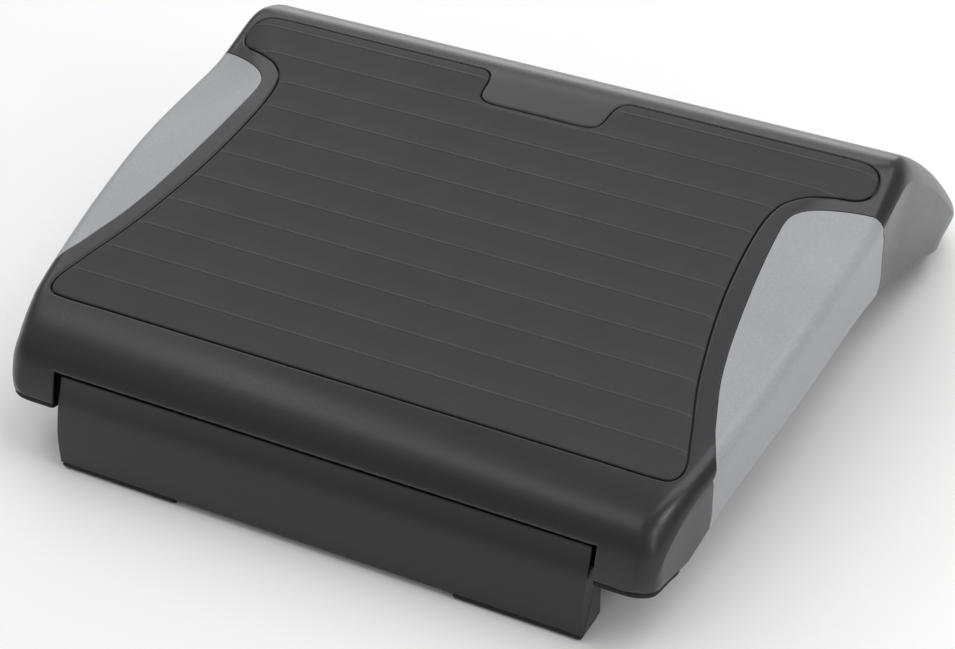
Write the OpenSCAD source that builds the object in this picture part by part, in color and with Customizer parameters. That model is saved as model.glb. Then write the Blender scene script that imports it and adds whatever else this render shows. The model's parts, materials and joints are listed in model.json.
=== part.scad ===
// Tilting under-desk footrest: a wedge-shaped platform with a ribbed rubber tread, two side
// covers and a fold-out leg panel that lifts the front edge. Drawn standing on the leg panel.
// X runs across the width, Y from the user's heel edge to the toe edge, Z up. The origin is
// the centre of the footprint on the floor.

/* [Platform] */
// Half width of the platform at its widest, at the rear of the side walls
half_w = 225; // [215:1:235]
// Wall between the outer skin and the hollow underside
wall = 5; // [4.6:0.2:6]
// Radius of the crest where the deck turns down into the rear skirt
crest_r = 50; // [46:1:54]

/* [Tread] */
// Depth of the pocket that the tread mat lies in
mat_depth = 2.4; // [2:0.2:2.8]
// Height of the mat above the deck
mat_proud = 0.6; // [0.2:0.2:1]
// Pitch of the tread ribs
rib_pitch = 23.9; // [20:0.1:26]
// Height of the tread ribs' ridges
rib_h = 0.8; // [0.4:0.2:1.2]

/* [Side covers] */
// Thickness of a side cover
cover_t = 2; // [1.6:0.2:2.4]
// Fitting gap around and under a side cover
cover_gap = 0.15; // [0.1:0.05:0.3]

/* [Leg panel] */
// Half length of the leg panel
leg_x = 166.8; // [160:0.2:167.4]
// Wall thickness of the leg panel
leg_wall = 2.8; // [2.2:0.2:3.2]
// Radius of the steel hinge pins
pin_r = 3; // [2.5:0.25:3]
// Running clearance around a pin, on the radius
pin_gap = 0.06; // [0.03:0.01:0.1]

/* [Feet] */
// Thickness of the rubber pads under the leg panel
leg_pad_t = 4; // [3:0.5:4]
// Thickness of the rubber pads under the front corners
front_pad_t = 3.5; // [3:0.5:4]

/* [Hidden] */
$fn = 64;

y_mid = 240;          // the footprint's centre, measured from the leg panel's foot
deck_y0 = 42;           // front seam of the mat
deck_z0 = 87.8;
deck_y1 = 308;          // where the crest begins
cut_x = 169.7;          // half width of the opening for the leg panel
cut_z = 62.4;           // underside of the lip above the leg panel
hinge_y = 15;
hinge_z = 51.5;
stop_r = 6.5;            // the stop pin's distance and direction from the hinge
stop_a = -70;
web_t = 3.2;            // webs and ribs that frame the leg opening
rib_t = 2.4;
stop_y = hinge_y + stop_r * cos(stop_a);
stop_z = hinge_z + stop_r * sin(stop_a);
fold_deg = 98;

// height of the deck along its centre line
function deck(y) = deck_z0 + 0.2 * (y - deck_y0) - 0.00006 * pow(y - deck_y0, 2);
function slope(y) = atan(0.2 - 0.00012 * (y - deck_y0));
crest_y = deck_y1 + crest_r * sin(slope(deck_y1));
crest_z = deck(deck_y1) - crest_r * cos(slope(deck_y1));
skirt_y = crest_y + crest_r * sin(31);
skirt_z = crest_z + crest_r * cos(31);
function skirt(y) = skirt_z - 0.6 * (y - skirt_y) - 0.0017 * pow(y - skirt_y, 2);

// outer skin from the front lower edge over the deck to the rear lower edge, in Y and Z
nose = [[1, 42.5], [1.6, 47], [2.8, 52], [4.4, 58], [6, 63], [8, 68], [11, 72.4], [15, 76.2],
    [20, 79.6], [27, 83], [34, 85.6]];
tail_y = 474;
tail = [[tail_y, skirt(tail_y)], [479, 18.1], [481.4, 16.7], [482, 15.4], [480.8, 13.8],
    [477.6, 11.8], [473, 10], [460, 5.3]];
skin = concat(nose,
    [for (i = [0:20]) let (y = deck_y0 + i * (deck_y1 - deck_y0) / 20) [y, deck(y)]],
    [for (a = [-6:4:27]) [crest_y + crest_r * sin(a), crest_z + crest_r * cos(a)]],
    [for (i = [0:8]) let (y = skirt_y + i * (tail_y - 6 - skirt_y) / 8) [y, skirt(y)]], tail);

// lower edge of the side walls, from the rear foot forward to the front foot
arch = [[440, 5], [436, 9], [430, 13.6], [420, 19.2], [402, 26.6], [390, 31.6], [368, 38], [348, 43.4],
    [328, 48.6], [300, 54.8], [266, 61], [240, 63.2], [210, 63], [180, 61.4], [133, 58.6], [100, 54],
    [84, 50], [70, 45.4], [60, 41], [52, 36.8], [46, 34.2], [42, 34]];
// lower edge of the shell at the front corners
function corner_z(y) = 42.5 - 0.207 * (y - 1);

// half width of the platform at each depth
width = [[0.6, 186], [1.6, 192], [4, 197.6], [8, 201.4], [13, 203.6], [20, 204.8], [37, 207.4],
    [58, 211], [86, 214.8], [119, 218.5], [149, 221], [182, 223], [219, 224.4], [250, 225],
    [400, 225], [448, 223.6], [461, 221], [470, 216.6], [477, 209], [482.4, 196]];
function hw(y) = lookup(y, width) + (half_w - 225) * min(1, max(0, (y - 40) / 180));

function unit(v) = v / norm(v);
function left(v) = [-v[1], v[0]];
// moves every point of an open or closed path sideways by d, to its left
function shift_path(p, d) = [for (i = [0:len(p) - 1])
    let (a = unit(p[i] - p[max(0, i - 1)] + (i == 0 ? p[1] - p[0] : [0, 0])),
         b = unit(p[min(len(p) - 1, i + 1)] - p[i] + (i == len(p) - 1 ? p[i] - p[i - 1] : [0, 0])),
         n = left(a) + left(b))
    p[i] + n * (d / (1 + a * b))];

// extrudes an outline drawn in Y and Z along X, from x0 to x1
module along_x(x0, x1) translate([x0, 0, 0]) rotate([90, 0, 90]) linear_extrude(x1 - x0) children();

// side view of the outer skin, moved inwards by d; the hollow is open below
skin_cut = [for (p = skin) if (p[1] > 17.5 || p[0] < 300) p];
module side_2d(d = 0) {
    p = d == 0 ? skin : shift_path(skin_cut, -d);
    polygon(d == 0 ? concat(skin, arch) : concat([p[0] - [0, 60]], p, [[p[len(p) - 1][0], -20]]));
}
// plan view, moved inwards by d
plan_half = [for (w = width) [hw(w[0]), w[0]]];
module plan_2d(d = 0) {
    p = shift_path(plan_half, d);
    polygon(concat(p, [for (i = [len(p) - 1:-1:0]) [-p[i][0], p[i][1]]]));
}
// rounded shoulders and the slight undercut of the side walls, as a slice across the platform
shoulder = [[45, 0], [22, -1], [11, -2.2], [6, -3.6], [3, -5.6], [1, -8.6], [0, -12], [17, -200]];
module slice_2d(d = 0) {
    h = shift_path([for (p = shoulder) [half_w - p[0], p[1]]], -d);
    polygon(concat(h, [for (i = [len(h) - 1:-1:0]) [-h[i][0], h[i][1]]]));
}
// rounded edges between the side walls and the crest and rear skirt
module tail_slice_2d(d = 0) {
    h = concat([for (i = [0:5]) let (t = 90 - i * 18)
        [half_w - 15 + (16 - d) * cos(t), -16 + (16 - d) * sin(t)]], [[half_w + 1 - d, -600]]);
    polygon(concat(h, [for (i = [len(h) - 1:-1:0]) [-h[i][0], h[i][1]]]));
}
// a slice swept along the line through [y, z] that rises by a degrees towards the rear
module sweep_slice(y, z, a) translate([0, y, z]) rotate([90 + a, 0, 0]) translate([0, 0, -600])
    linear_extrude(1200) children();
// everything above a plane that passes through a point and tilts about X and then Y
module above(p, ax, ay, d) translate(p) rotate([ax, ay, 0]) translate([-300, -300, -d]) cube([600, 600, 200]);

// the whole body of the platform, moved inwards by d
module body_form(d = 0) difference() {
    intersection() {
        along_x(-260, 260) side_2d(d);
        translate([0, 0, -60]) linear_extrude(260) plan_2d(d);
        sweep_slice(deck_y0, deck_z0 + 1.5, 10.43) slice_2d(d);
        sweep_slice(crest_y, crest_z + crest_r + 1, -2) tail_slice_2d(d);
        sweep_slice(skirt_y, skirt_z + 2.5, -35.6) tail_slice_2d(d);
        sweep_slice(411, skirt(411) + 2.5, -43.6) tail_slice_2d(d);
    }
    both() {
        // the tops of the side covers fall away outwards, and rise again behind them
        intersection() {
            above([225, 215, 115], 4.22, 10.43, d);
            above([186, 254, 125.1], 18.63, 20.1, d);
        }
    }
}

// band of the deck between two depths below its surface
module deck_band(d0, d1, y0, y1, x0, x1) along_x(x0, x1) polygon(concat(
    [for (i = [0:24]) let (y = y0 + i * (y1 - y0) / 24) [y, skin_z(y) - d0]],
    [for (i = [24:-1:0]) let (y = y0 + i * (y1 - y0) / 24) [y, skin_z(y) - d1]]));
function skin_z(y) = y < deck_y0 ? deck(deck_y0) + (y - deck_y0) * 0.29
    : y < deck_y1 ? deck(y) : crest_z + sqrt(pow(crest_r, 2) - pow(y - crest_y, 2));

// outline of the tread mat, right half, from the front centre round to the rear notch
mat_half = [[187, 42], [193.4, 43], [197, 46.6], [198.2, 52], [197.6, 58], [194.6, 67.4], [190.7, 80],
    [185.6, 95], [180.4, 112], [176.6, 128], [172.8, 146], [169.8, 163], [167, 183], [165, 206],
    [164.3, 222], [164.3, 237], [165.6, 250], [169, 260.6], [177.6, 270], [192, 277], [206.6, 284.4],
    [212.6, 291.6], [213.6, 299], [211.4, 307], [204.6, 311.6], [196, 313],
    [45, 313], [42.4, 308], [41, 301], [40, 291], [37, 285.8], [32, 283.6]];
module mat_2d(g = 0) {
    p = shift_path(mat_half, g);
    polygon(concat([[0, 42 + g]], p, [[0, 283.6 - g]], [for (i = [len(p) - 1:-1:0]) [-p[i][0], p[i][1]]]));
}

// plan and side outlines of a side cover; g makes the zone larger all round
cover_in = [[213.4, 40], [212.4, 58], [209, 68], [203.4, 80], [197, 98], [191.8, 114], [188, 130],
    [184.6, 149], [182, 168], [179.4, 190], [177.4, 212], [176, 234], [175.8, 246], [177, 252.6],
    [180, 257.6], [185.4, 262.6], [195, 268.8], [205.6, 274.8], [215, 279.6], [220.4, 280.6], [230, 277]];
cover_front = [[59, 90], [60.4, 84], [66.2, 52], [67, 40]];
cover_side = concat(cover_front, [[314, 36], [305, 64], [289, 104], [284, 114], [276, 117], [66, 76]]);
module cover_zone(g = 0) {
    intersection() {
        linear_extrude(200) polygon(concat(shift_path(cover_in, g), [[300, 270], [300, 40]]));
        along_x(150, 260) polygon(concat(shift_path(concat([[59, 160]], cover_front), -g), [[330, 40], [330, 160]]));
    }
    along_x(195, 260) polygon(shift_path(concat(cover_side, [cover_side[0]]), -g));
}
cover_fix = [[112, 78], [186, 82], [262, 90]];   // Y and Z of the side covers' screws
boss_x = 205;
rear_peg_x = [172, 196];
rear_foot_y = 449;

// moves a piece from the leg panel's foot to the part's origin
module place() translate([0, -y_mid, 0]) children();
module both() { children(); mirror([1, 0, 0]) children(); }
module side(s) if (s > 0) place() children(); else place() mirror([1, 0, 0]) children();

module x_cyl(x0, x1, r, y, z) translate([x0, y, z]) rotate([0, 90, 0]) cylinder(r = r, h = x1 - x0);
module z_cyl(z0, z1, r, x, y) translate([x, y, z0]) cylinder(r = r, h = z1 - z0);
module y_cyl(y0, y1, r, x, z) translate([x, y1, z]) rotate([90, 0, 0]) cylinder(r = r, h = y1 - y0);

// pegs that hold the mat down
peg_y = [78, 176, 268];
function peg_x(y) = y < 100 ? 150 : 128;
bracket_holes = [[188, 19], [188, 34]];

module ribs_2d() {
    // grid of stiffening ribs under the deck
    for (x = [-120, -60, 0, 60, 120]) translate([x - rib_t / 2, 84]) square([rib_t, 330]);
    for (y = [84, 134, 184, 234, 284]) translate([-230, y - rib_t / 2]) square([460, rib_t]);
}

module platform_shell() color([0.22, 0.22, 0.23]) place() difference() {
    union() {
        difference() {
            body_form();
            body_form(wall);
        }
        // stiffening ribs: a grid under the deck, and vertical ribs down the rear skirt
        intersection() {
            body_form(wall - 1);
            union() {
                intersection() {
                    deck_band(wall - 1, 27, 84, 340, -226, 226);
                    linear_extrude(200) ribs_2d();
                }
                for (x = [-120, -60, 0, 60, 120]) intersection() {
                    along_x(x - rib_t / 2, x + rib_t / 2) difference() {
                        polygon(concat([[300, 60]], [for (i = [0:10]) let (y = 316 + i * 14) [y, y < skirt_y ? skin_z(y) - 2 : skirt(y) - 2]], [[468, 8]]));
                        polygon([[200, 106], [338, 106], [354, 96], [452, 8], [452, -20], [200, -20]]);
                    }
                }
            }
        }
        intersection() {
            body_form(1);
            union() {
                // webs beside the leg opening and the blocks that the hinge brackets screw to
                both() {
                    along_x(cut_x, cut_x + web_t) polygon([[2, corner_z(2)], [40, corner_z(40)], [40, 88], [2, 88]]);
                    translate([cut_x, 8, 63.2]) cube([28, 32, 22]);
                }
                // rib across the platform behind the folded leg panel's top
                translate([-cut_x - 2, 36, 66]) cube([2 * cut_x + 4, rib_t, 20]);
                // flanges that carry the front feet and the rear feet
                both() {
                    along_x(cut_x, 206) polygon([[0, corner_z(0)], [9, corner_z(9)], [9, corner_z(9) + 3], [0, corner_z(0) + 3]]);
                    along_x(196, 210) polygon([[0, corner_z(0)], [38, corner_z(38)], [38, corner_z(38) + 3], [0, corner_z(0) + 3]]);
                }
                translate([-220, 438, 5]) cube([440, 46, 3]);
            }
        }
        // bosses for the side covers' screws
        intersection() {
            body_form(cover_t + cover_gap + 1);
            both() for (f = cover_fix) x_cyl(boss_x, 230, 8, f[0], f[1]);
        }
    }
    // pocket for the mat, and holes for its pegs
    difference() {
        translate([0, 0, 60]) linear_extrude(200) mat_2d(-0.3);
        body_form(mat_depth);
    }
    for (s = [-1, 1], y = peg_y) z_cyl(40, 170, 3.2, s * peg_x(y), y);
    // pockets for the side covers and the holes behind them
    both() {
        difference() {
            cover_zone(cover_gap);
            body_form(cover_t + cover_gap);
        }
        for (f = cover_fix) x_cyl(190, 240, 4.3, f[0], f[1]);
    }
    // opening for the leg panel
    translate([-cut_x, -10, 20]) cube([2 * cut_x, 27, cut_z - 20]);
    // holes for the hinge pins, the stop pins and the bracket screws
    both() {
        x_cyl(cut_x - 2, cut_x + web_t + 1, pin_r + 0.3, hinge_y, hinge_z);
        x_cyl(cut_x - 2, cut_x + web_t + 1, 1.6, stop_y, stop_z);
        for (h = bracket_holes) z_cyl(60, 68.8, 1.5, h[0], h[1]);
        // holes for the rear feet's barbed pegs
        for (x = rear_peg_x) z_cyl(4, 9, 3.1, x, rear_foot_y);
    }
}

module tread_mat() color([0.28, 0.28, 0.29]) place() {
    difference() {
        intersection() {
            union() {
                body_form(-mat_proud);
                intersection() {
                    body_form(-mat_proud - rib_h);
                    for (i = [0:10]) let (y = 303.6 - i * rib_pitch)
                        along_x(-220, 220) polygon([[y - 3, 60], [y - 3, skin_z(y) + 0.2], [y - 0.8, skin_z(y) + 3],
                            [y + 0.8, skin_z(y) + 3], [y + 3, skin_z(y) + 0.2], [y + 3, 60]]);
                }
            }
            translate([0, 0, 60]) linear_extrude(200) mat_2d();
        }
        body_form(mat_depth - 0.05);
    }
    for (s = [-1, 1], y = peg_y) {
        z_cyl(skin_z(y) - wall - 6, skin_z(y) - mat_depth + 0.2, 3, s * peg_x(y), y);
        translate([s * peg_x(y), y, skin_z(y) - wall - 6]) cylinder(r1 = 2, r2 = 4.2, h = 3.4);
    }
}

module side_cover(s) color([0.7, 0.71, 0.73]) side(s) difference() {
    union() {
        intersection() {
            difference() {
                body_form();
                body_form(cover_t);
            }
            cover_zone();
        }
        intersection() {
            body_form(0.6);
            for (f = cover_fix) x_cyl(boss_x + 1.5, 230, 4, f[0], f[1]);
        }
    }
    for (f = cover_fix) x_cyl(200, 215, 1.5, f[0], f[1]);
}
module side_cover_left() side_cover(-1);
module side_cover_right() side_cover(1);

module side_cover_screws(s) color([0.75, 0.75, 0.76]) side(s) for (f = cover_fix) difference() {
    union() {
        x_cyl(boss_x - 2.2, boss_x, 5.6, f[0], f[1]);
        x_cyl(boss_x - 1, 213.5, 1.45, f[0], f[1]);
    }
    translate([boss_x - 3, f[0] - 2.6, f[1] - 0.5]) cube([2, 5.2, 1]);
    translate([boss_x - 3, f[0] - 0.5, f[1] - 2.6]) cube([2, 1, 5.2]);
}
module side_cover_screws_left() side_cover_screws(-1);
module side_cover_screws_right() side_cover_screws(1);

// side view of the leg panel
leg_face = [[7.6, 59.6], [6.6, 56], [4.8, 50.6], [2, 42.8], [-0.2, 33.5], [-1.4, 26.4], [-2, 20.2], [-1.8, 12], [-1.4, 4]];
leg_in = shift_path(leg_face, leg_wall);
module leg_outline_2d() polygon(concat(leg_face, [[21.7, leg_pad_t], [21.7, 44], [20, 46], [20, 59.6]]));
cover_screw_x = [-140, 0, 140];
cover_screw_z = [13, 35];

module leg_panel() color([0.2, 0.2, 0.21]) place() difference() {
    union() {
        difference() {
            along_x(-leg_x, leg_x) leg_outline_2d();
            // hollow, closed at the back by its cover, with solid ends around the hinges
            intersection() {
                along_x(-leg_x + leg_wall, leg_x - leg_wall) polygon(concat(
                    [for (i = [1:len(leg_in) - 2]) leg_in[i]], [[1.6, 7], [30, 7], [30, 44], [17.2, 44], [17.2, 56.8]]));
                union() {
                    translate([-200, -10, 0]) cube([400, 50, 37]);
                    translate([-151.3, -10, 30]) cube([302.6, 50, 50]);
                }
            }
            // slots at the back to reach the hinge pins' clips
            both() translate([142, 12, 44]) cube([9.3, 20, 12.8]);
        }
        // inner ribs and the bosses for the back cover's screws
        intersection() {
            along_x(-leg_x, leg_x) polygon(concat(leg_face, [[18.9, leg_pad_t], [18.9, 58]]));
            union() {
                for (x = [-105, -70, -35, 35, 70, 105]) translate([x - 1, -5, 4]) cube([2, 30, 40]);
                for (x = cover_screw_x, z = cover_screw_z) y_cyl(-5, 19, 4, x, z);
            }
        }
    }
    both() {
        x_cyl(140, 180, pin_r + pin_gap, hinge_y, hinge_z);
        // curved groove that runs over the stop pin
        intersection() {
            difference() {
                x_cyl(leg_x - 3.2, leg_x + 1, stop_r + 1.9, hinge_y, hinge_z);
                x_cyl(leg_x - 4, leg_x + 2, stop_r - 1.9, hinge_y, hinge_z);
            }
            along_x(150, 180) polygon([[hinge_y, hinge_z], [stop_y + (stop_y - hinge_y) * 3, stop_z + (stop_z - hinge_z) * 3],
                for (a = [fold_deg / 2, fold_deg]) [hinge_y + 30 * cos(stop_a - a), hinge_z + 30 * sin(stop_a - a)]]);
        }
        for (a = [stop_a, stop_a - fold_deg]) x_cyl(leg_x - 3.2, leg_x + 1, 1.9, hinge_y + stop_r * cos(a), hinge_z + stop_r * sin(a));
        // seats that the rubber pads' pegs push into
        for (x = [105, 150]) z_cyl(2, 9, 2.6, x, 10);
    }
    // rebate for the back cover, and pilot holes for its screws
    translate([-158.2, 19.4, 7.8]) cube([316.4, 6, 34.4]);
    for (x = cover_screw_x, z = cover_screw_z) y_cyl(8, 25, 1.5, x, z);
}

module leg_back_cover() color([0.2, 0.2, 0.21]) place() difference() {
    union() {
        translate([-158, 19.4, 8]) cube([316, 2.3, 34]);
        for (x = [-122, -87, -52, 52, 87, 122]) translate([x - 8, 21.4, 14]) cube([16, 0.9, 22]);
    }
    for (x = cover_screw_x, z = cover_screw_z) {
        y_cyl(15, 30, 1.8, x, z);
        y_cyl(20.6, 30, 3.4, x, z);
    }
}

module leg_cover_screws() color([0.75, 0.75, 0.76]) place()
    for (x = cover_screw_x, z = cover_screw_z) difference() {
        union() {
            y_cyl(20.6, 22, 3.2, x, z);
            y_cyl(10, 21, 1.45, x, z);
        }
        translate([x - 1.9, 21.2, z - 0.4]) cube([3.8, 2, 0.8]);
        translate([x - 0.4, 21.2, z - 1.9]) cube([0.8, 2, 3.8]);
    }

module leg_pad(s) color([0.09, 0.09, 0.09]) side(s) {
    difference() {
        along_x(89, leg_x) polygon([[-1.5, leg_pad_t], [-1.2, 1.6], [0.4, 0], [20, 0], [21.5, 1.6], [21.6, leg_pad_t]]);
        for (i = [0:5]) translate([94 + i * 12.4, -3, -1]) cube([6, 40, 1.5]);
    }
    for (x = [105, 150]) z_cyl(leg_pad_t - 0.2, 8.6, 2.5, x, 10);
}
module leg_pad_left() leg_pad(-1);
module leg_pad_right() leg_pad(1);

// rubber shoe that wraps a front corner
module front_foot(s) color([0.09, 0.09, 0.09]) side(s) intersection() {
    difference() {
        translate([0, 0, 20]) linear_extrude(40) plan_2d(0.6);
        translate([0, 0, 10]) linear_extrude(60) plan_2d(9);
    }
    along_x(cut_x + 0.3, 230) polygon([[-5, corner_z(-5)], [-5, corner_z(-5) - front_pad_t],
        [38, corner_z(38) - front_pad_t], [42, corner_z(42) - front_pad_t + 0.8], [43.5, corner_z(43.5)]]);
}
module front_foot_left() front_foot(-1);
module front_foot_right() front_foot(1);

// half-round rubber strip under a rear corner
module rear_foot(s) color([0.09, 0.09, 0.09]) side(s) difference() {
    union() {
        intersection() {
            x_cyl(160, 207.6, 12, rear_foot_y, 12);
            along_x(150, 220) polygon([[rear_foot_y - 9.5, -5], [rear_foot_y - 9.5, 5], [rear_foot_y + 9.5, 5], [rear_foot_y + 9.5, -5]]);
        }
        for (x = rear_peg_x) z_cyl(3, 12, 2.9, x, rear_foot_y);
        for (x = rear_peg_x) translate([x, rear_foot_y, 8.1]) cylinder(r1 = 4, r2 = 2.4, h = 3.9);
    }
}
module rear_foot_left() rear_foot(-1);
module rear_foot_right() rear_foot(1);

module hinge_bracket(s) color([0.16, 0.16, 0.17]) side(s) difference() {
    union() {
        along_x(cut_x + web_t + 0.1, cut_x + web_t + 8.3)
            polygon([[10, 43.6], [36, 43.6], [36, 63], [14, 63], [10, 56]]);
        translate([cut_x + web_t + 0.1, 14, 58.6]) cube([21, 25, 4.4]);
        translate([181, 27.8, 50]) rotate([90, 0, 0]) linear_extrude(2.6)
            polygon([[0, 0], [12, 8.6], [12, 10], [0, 10]]);
    }
    x_cyl(170, 190, pin_r, hinge_y, hinge_z);
    x_cyl(170, 190, 1.5, stop_y, stop_z);
    for (h = bracket_holes) z_cyl(50, 70, 1.8, h[0], h[1]);
}
module hinge_bracket_left() hinge_bracket(-1);
module hinge_bracket_right() hinge_bracket(1);

module bracket_screws(s) color([0.75, 0.75, 0.76]) side(s) for (h = bracket_holes) difference() {
    union() {
        z_cyl(56.4, 58.6, 3.6, h[0], h[1]);
        z_cyl(58, 68, 1.45, h[0], h[1]);
    }
    translate([h[0] - 2, h[1] - 0.4, 56]) cube([4, 0.8, 1.4]);
    translate([h[0] - 0.4, h[1] - 2, 56]) cube([0.8, 4, 1.4]);
}
module bracket_screws_left() bracket_screws(-1);
module bracket_screws_right() bracket_screws(1);

module hinge_pin(s) color([0.8, 0.8, 0.82]) side(s) difference() {
    union() {
        x_cyl(148, 182.5, pin_r, hinge_y, hinge_z);
        x_cyl(181.2, 183.4, 5, hinge_y, hinge_z);
    }
    // groove for the retaining clip
    difference() {
        x_cyl(150, 151, pin_r + 1, hinge_y, hinge_z);
        x_cyl(149, 152, pin_r - 0.7, hinge_y, hinge_z);
    }
}
module hinge_pin_left() hinge_pin(-1);
module hinge_pin_right() hinge_pin(1);

// open spring clip that keeps a hinge pin in its knuckle
module pin_clip(s) color([0.72, 0.72, 0.74]) side(s) difference() {
    x_cyl(150.1, 150.9, 4.6, hinge_y, hinge_z);
    x_cyl(149, 152, pin_r - 0.7, hinge_y, hinge_z);
    translate([149, hinge_y, hinge_z - 1.9]) cube([3, 8, 3.8]);
}
module pin_clip_left() pin_clip(-1);
module pin_clip_right() pin_clip(1);

// washer that drags on the knuckle so that the leg panel stays where it is put
module friction_washer(s) color([0.12, 0.12, 0.12]) side(s) difference() {
    x_cyl(leg_x + 0.4, cut_x - 0.05, 4.4, hinge_y, hinge_z);
    x_cyl(leg_x - 1, cut_x + 1, pin_r + 0.02, hinge_y, hinge_z);
}
module friction_washer_left() friction_washer(-1);
module friction_washer_right() friction_washer(1);

// dowel that ends the leg panel's swing at both limits
module stop_pin(s) color([0.8, 0.8, 0.82]) side(s) x_cyl(leg_x - 2.6, 181, 1.5, stop_y, stop_z);
module stop_pin_left() stop_pin(-1);
module stop_pin_right() stop_pin(1);

platform_shell();
tread_mat();
side_cover_left();
side_cover_right();
side_cover_screws_left();
side_cover_screws_right();
leg_panel();
leg_back_cover();
leg_cover_screws();
leg_pad_left();
leg_pad_right();
front_foot_left();
front_foot_right();
rear_foot_left();
rear_foot_right();
hinge_bracket_left();
hinge_bracket_right();
bracket_screws_left();
bracket_screws_right();
hinge_pin_left();
hinge_pin_right();
pin_clip_left();
pin_clip_right();
friction_washer_left();
friction_washer_right();
stop_pin_left();
stop_pin_right();
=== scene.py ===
import bmesh
import bpy
import json
import math
import random
import numpy as np
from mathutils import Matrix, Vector, kdtree
from mathutils.geometry import delaunay_2d_cdt

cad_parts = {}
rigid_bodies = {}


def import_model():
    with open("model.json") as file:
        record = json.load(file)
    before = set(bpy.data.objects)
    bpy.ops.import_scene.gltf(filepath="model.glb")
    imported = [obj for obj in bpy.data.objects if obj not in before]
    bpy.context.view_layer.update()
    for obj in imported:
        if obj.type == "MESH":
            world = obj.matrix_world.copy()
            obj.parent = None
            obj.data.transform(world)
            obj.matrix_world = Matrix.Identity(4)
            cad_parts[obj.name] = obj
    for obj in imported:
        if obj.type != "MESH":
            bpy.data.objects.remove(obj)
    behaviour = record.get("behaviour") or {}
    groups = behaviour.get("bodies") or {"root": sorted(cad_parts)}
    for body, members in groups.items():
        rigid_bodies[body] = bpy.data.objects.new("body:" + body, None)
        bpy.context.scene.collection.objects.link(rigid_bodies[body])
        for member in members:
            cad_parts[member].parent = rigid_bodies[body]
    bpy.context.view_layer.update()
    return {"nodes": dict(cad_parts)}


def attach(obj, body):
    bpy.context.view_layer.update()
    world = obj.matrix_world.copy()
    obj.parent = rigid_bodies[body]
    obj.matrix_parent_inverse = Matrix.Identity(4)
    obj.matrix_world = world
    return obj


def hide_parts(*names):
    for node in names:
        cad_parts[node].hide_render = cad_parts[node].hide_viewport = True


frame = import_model()
random.seed(7)
np.random.seed(7)

# ---------------------------------------------------------------------------------------------
# Shape of the body, in millimetres. y is measured from the leg panel's foot; Y_MID moves it to
# the part's frame.
# ---------------------------------------------------------------------------------------------
Y_MID = 240.0
HALF_W = 225.0
CUT_X = 169.7
CUT_Z = 62.4
WALL = 5.0
HINGE = (15.0, 51.5)
FOLD = 98.0


def unit(v):
    n = np.linalg.norm(v, axis=-1, keepdims=True)
    return v / np.maximum(n, 1e-9)


def spline(points, step, closed=False):
    """Even samples, about step apart, on a smooth curve through the points."""
    p = np.array(points, float)
    if closed:
        p = np.vstack([p[-2:], p, p[:3]])
    else:
        p = np.vstack([2 * p[0] - p[1], p, 2 * p[-1] - p[-2]])
    out = []
    for i in range(1, len(p) - 2):
        a, b, c, d = p[i - 1], p[i], p[i + 1], p[i + 2]
        t0 = np.linalg.norm(b - a) ** 0.5 + 1e-9
        t1 = np.linalg.norm(c - b) ** 0.5 + 1e-9
        t2 = np.linalg.norm(d - c) ** 0.5 + 1e-9
        m1 = (b - a) / t0 - (c - a) / (t0 + t1) + (c - b) / t1
        m2 = (c - b) / t1 - (d - b) / (t1 + t2) + (d - c) / t2
        m1, m2 = m1 * t1, m2 * t1
        for s in np.linspace(0, 1, 24, endpoint=False):
            h = (2 * s**3 - 3 * s**2 + 1, s**3 - 2 * s**2 + s, -2 * s**3 + 3 * s**2, s**3 - s**2)
            out.append(h[0] * b + h[1] * m1 + h[2] * c + h[3] * m2)
    if closed:
        out = out[24 : 24 + 24 * (len(points))]
        out.append(out[0])
    else:
        out.append(p[-2])
    q = np.array(out)
    s = np.concatenate([[0], np.cumsum(np.linalg.norm(np.diff(q, axis=0), axis=1))])
    n = max(2, int(round(s[-1] / step)) + 1)
    t = np.linspace(0, s[-1], n)
    r = np.stack([np.interp(t, s, q[:, k]) for k in range(q.shape[1])], 1)
    return r[:-1] if closed else r


def smooth(values, sigma, step):
    """Gaussian smoothing that keeps both ends."""
    n = int(3 * sigma / step)
    k = np.exp(-0.5 * (np.arange(-n, n + 1) * step / sigma) ** 2)
    k /= k.sum()
    v = np.asarray(values, float)
    pad = np.concatenate([2 * v[0] - v[n:0:-1], v, 2 * v[-1] - v[-2 : -n - 2 : -1]])
    return np.convolve(pad, k, "valid")


def deck(y):
    return 87.8 + 0.2 * (y - 42.0) - 0.00006 * (y - 42.0) ** 2


CR = 50.0
A0 = math.atan(0.2 - 0.00012 * 266.0)
CY, CZ = 308.0 + CR * math.sin(A0), deck(308.0) - CR * math.cos(A0)
SKY, SKZ = CY + CR * math.sin(math.radians(31)), CZ + CR * math.cos(math.radians(31))


def skirt(y):
    return SKZ - 0.6 * (y - SKY) - 0.0017 * (y - SKY) ** 2


nose = [(1, 42.5), (1.6, 47), (2.8, 52), (4.4, 58), (6, 63), (8, 68), (11, 72.4), (15, 76.2), (20, 79.6), (27, 83), (34, 85.6)]
tail = [(474, skirt(474)), (479, 16.2), (481.4, 12.8), (482, 9.8), (480.8, 7.2), (477.6, 5.5), (473, 5)]
side_pts = (
    nose
    + [(y, deck(y)) for y in np.linspace(42, 300, 26)]
    + [(CY + CR * math.sin(math.radians(a)), CZ + CR * math.cos(math.radians(a))) for a in (-9, -4.5, 0, 4.5, 9, 13.5, 18, 22.5, 27)]
    + [(y, skirt(y)) for y in np.linspace(SKY, 466, 12)]
    + tail
)
STEP = 0.5
prof = spline(side_pts, STEP)
prof = np.stack([smooth(prof[:, 0], 2.0, STEP), smooth(prof[:, 1], 2.0, STEP)], 1)
VS = np.concatenate([[0], np.cumsum(np.linalg.norm(np.diff(prof, axis=0), axis=1))])
VL = VS[-1]

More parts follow.
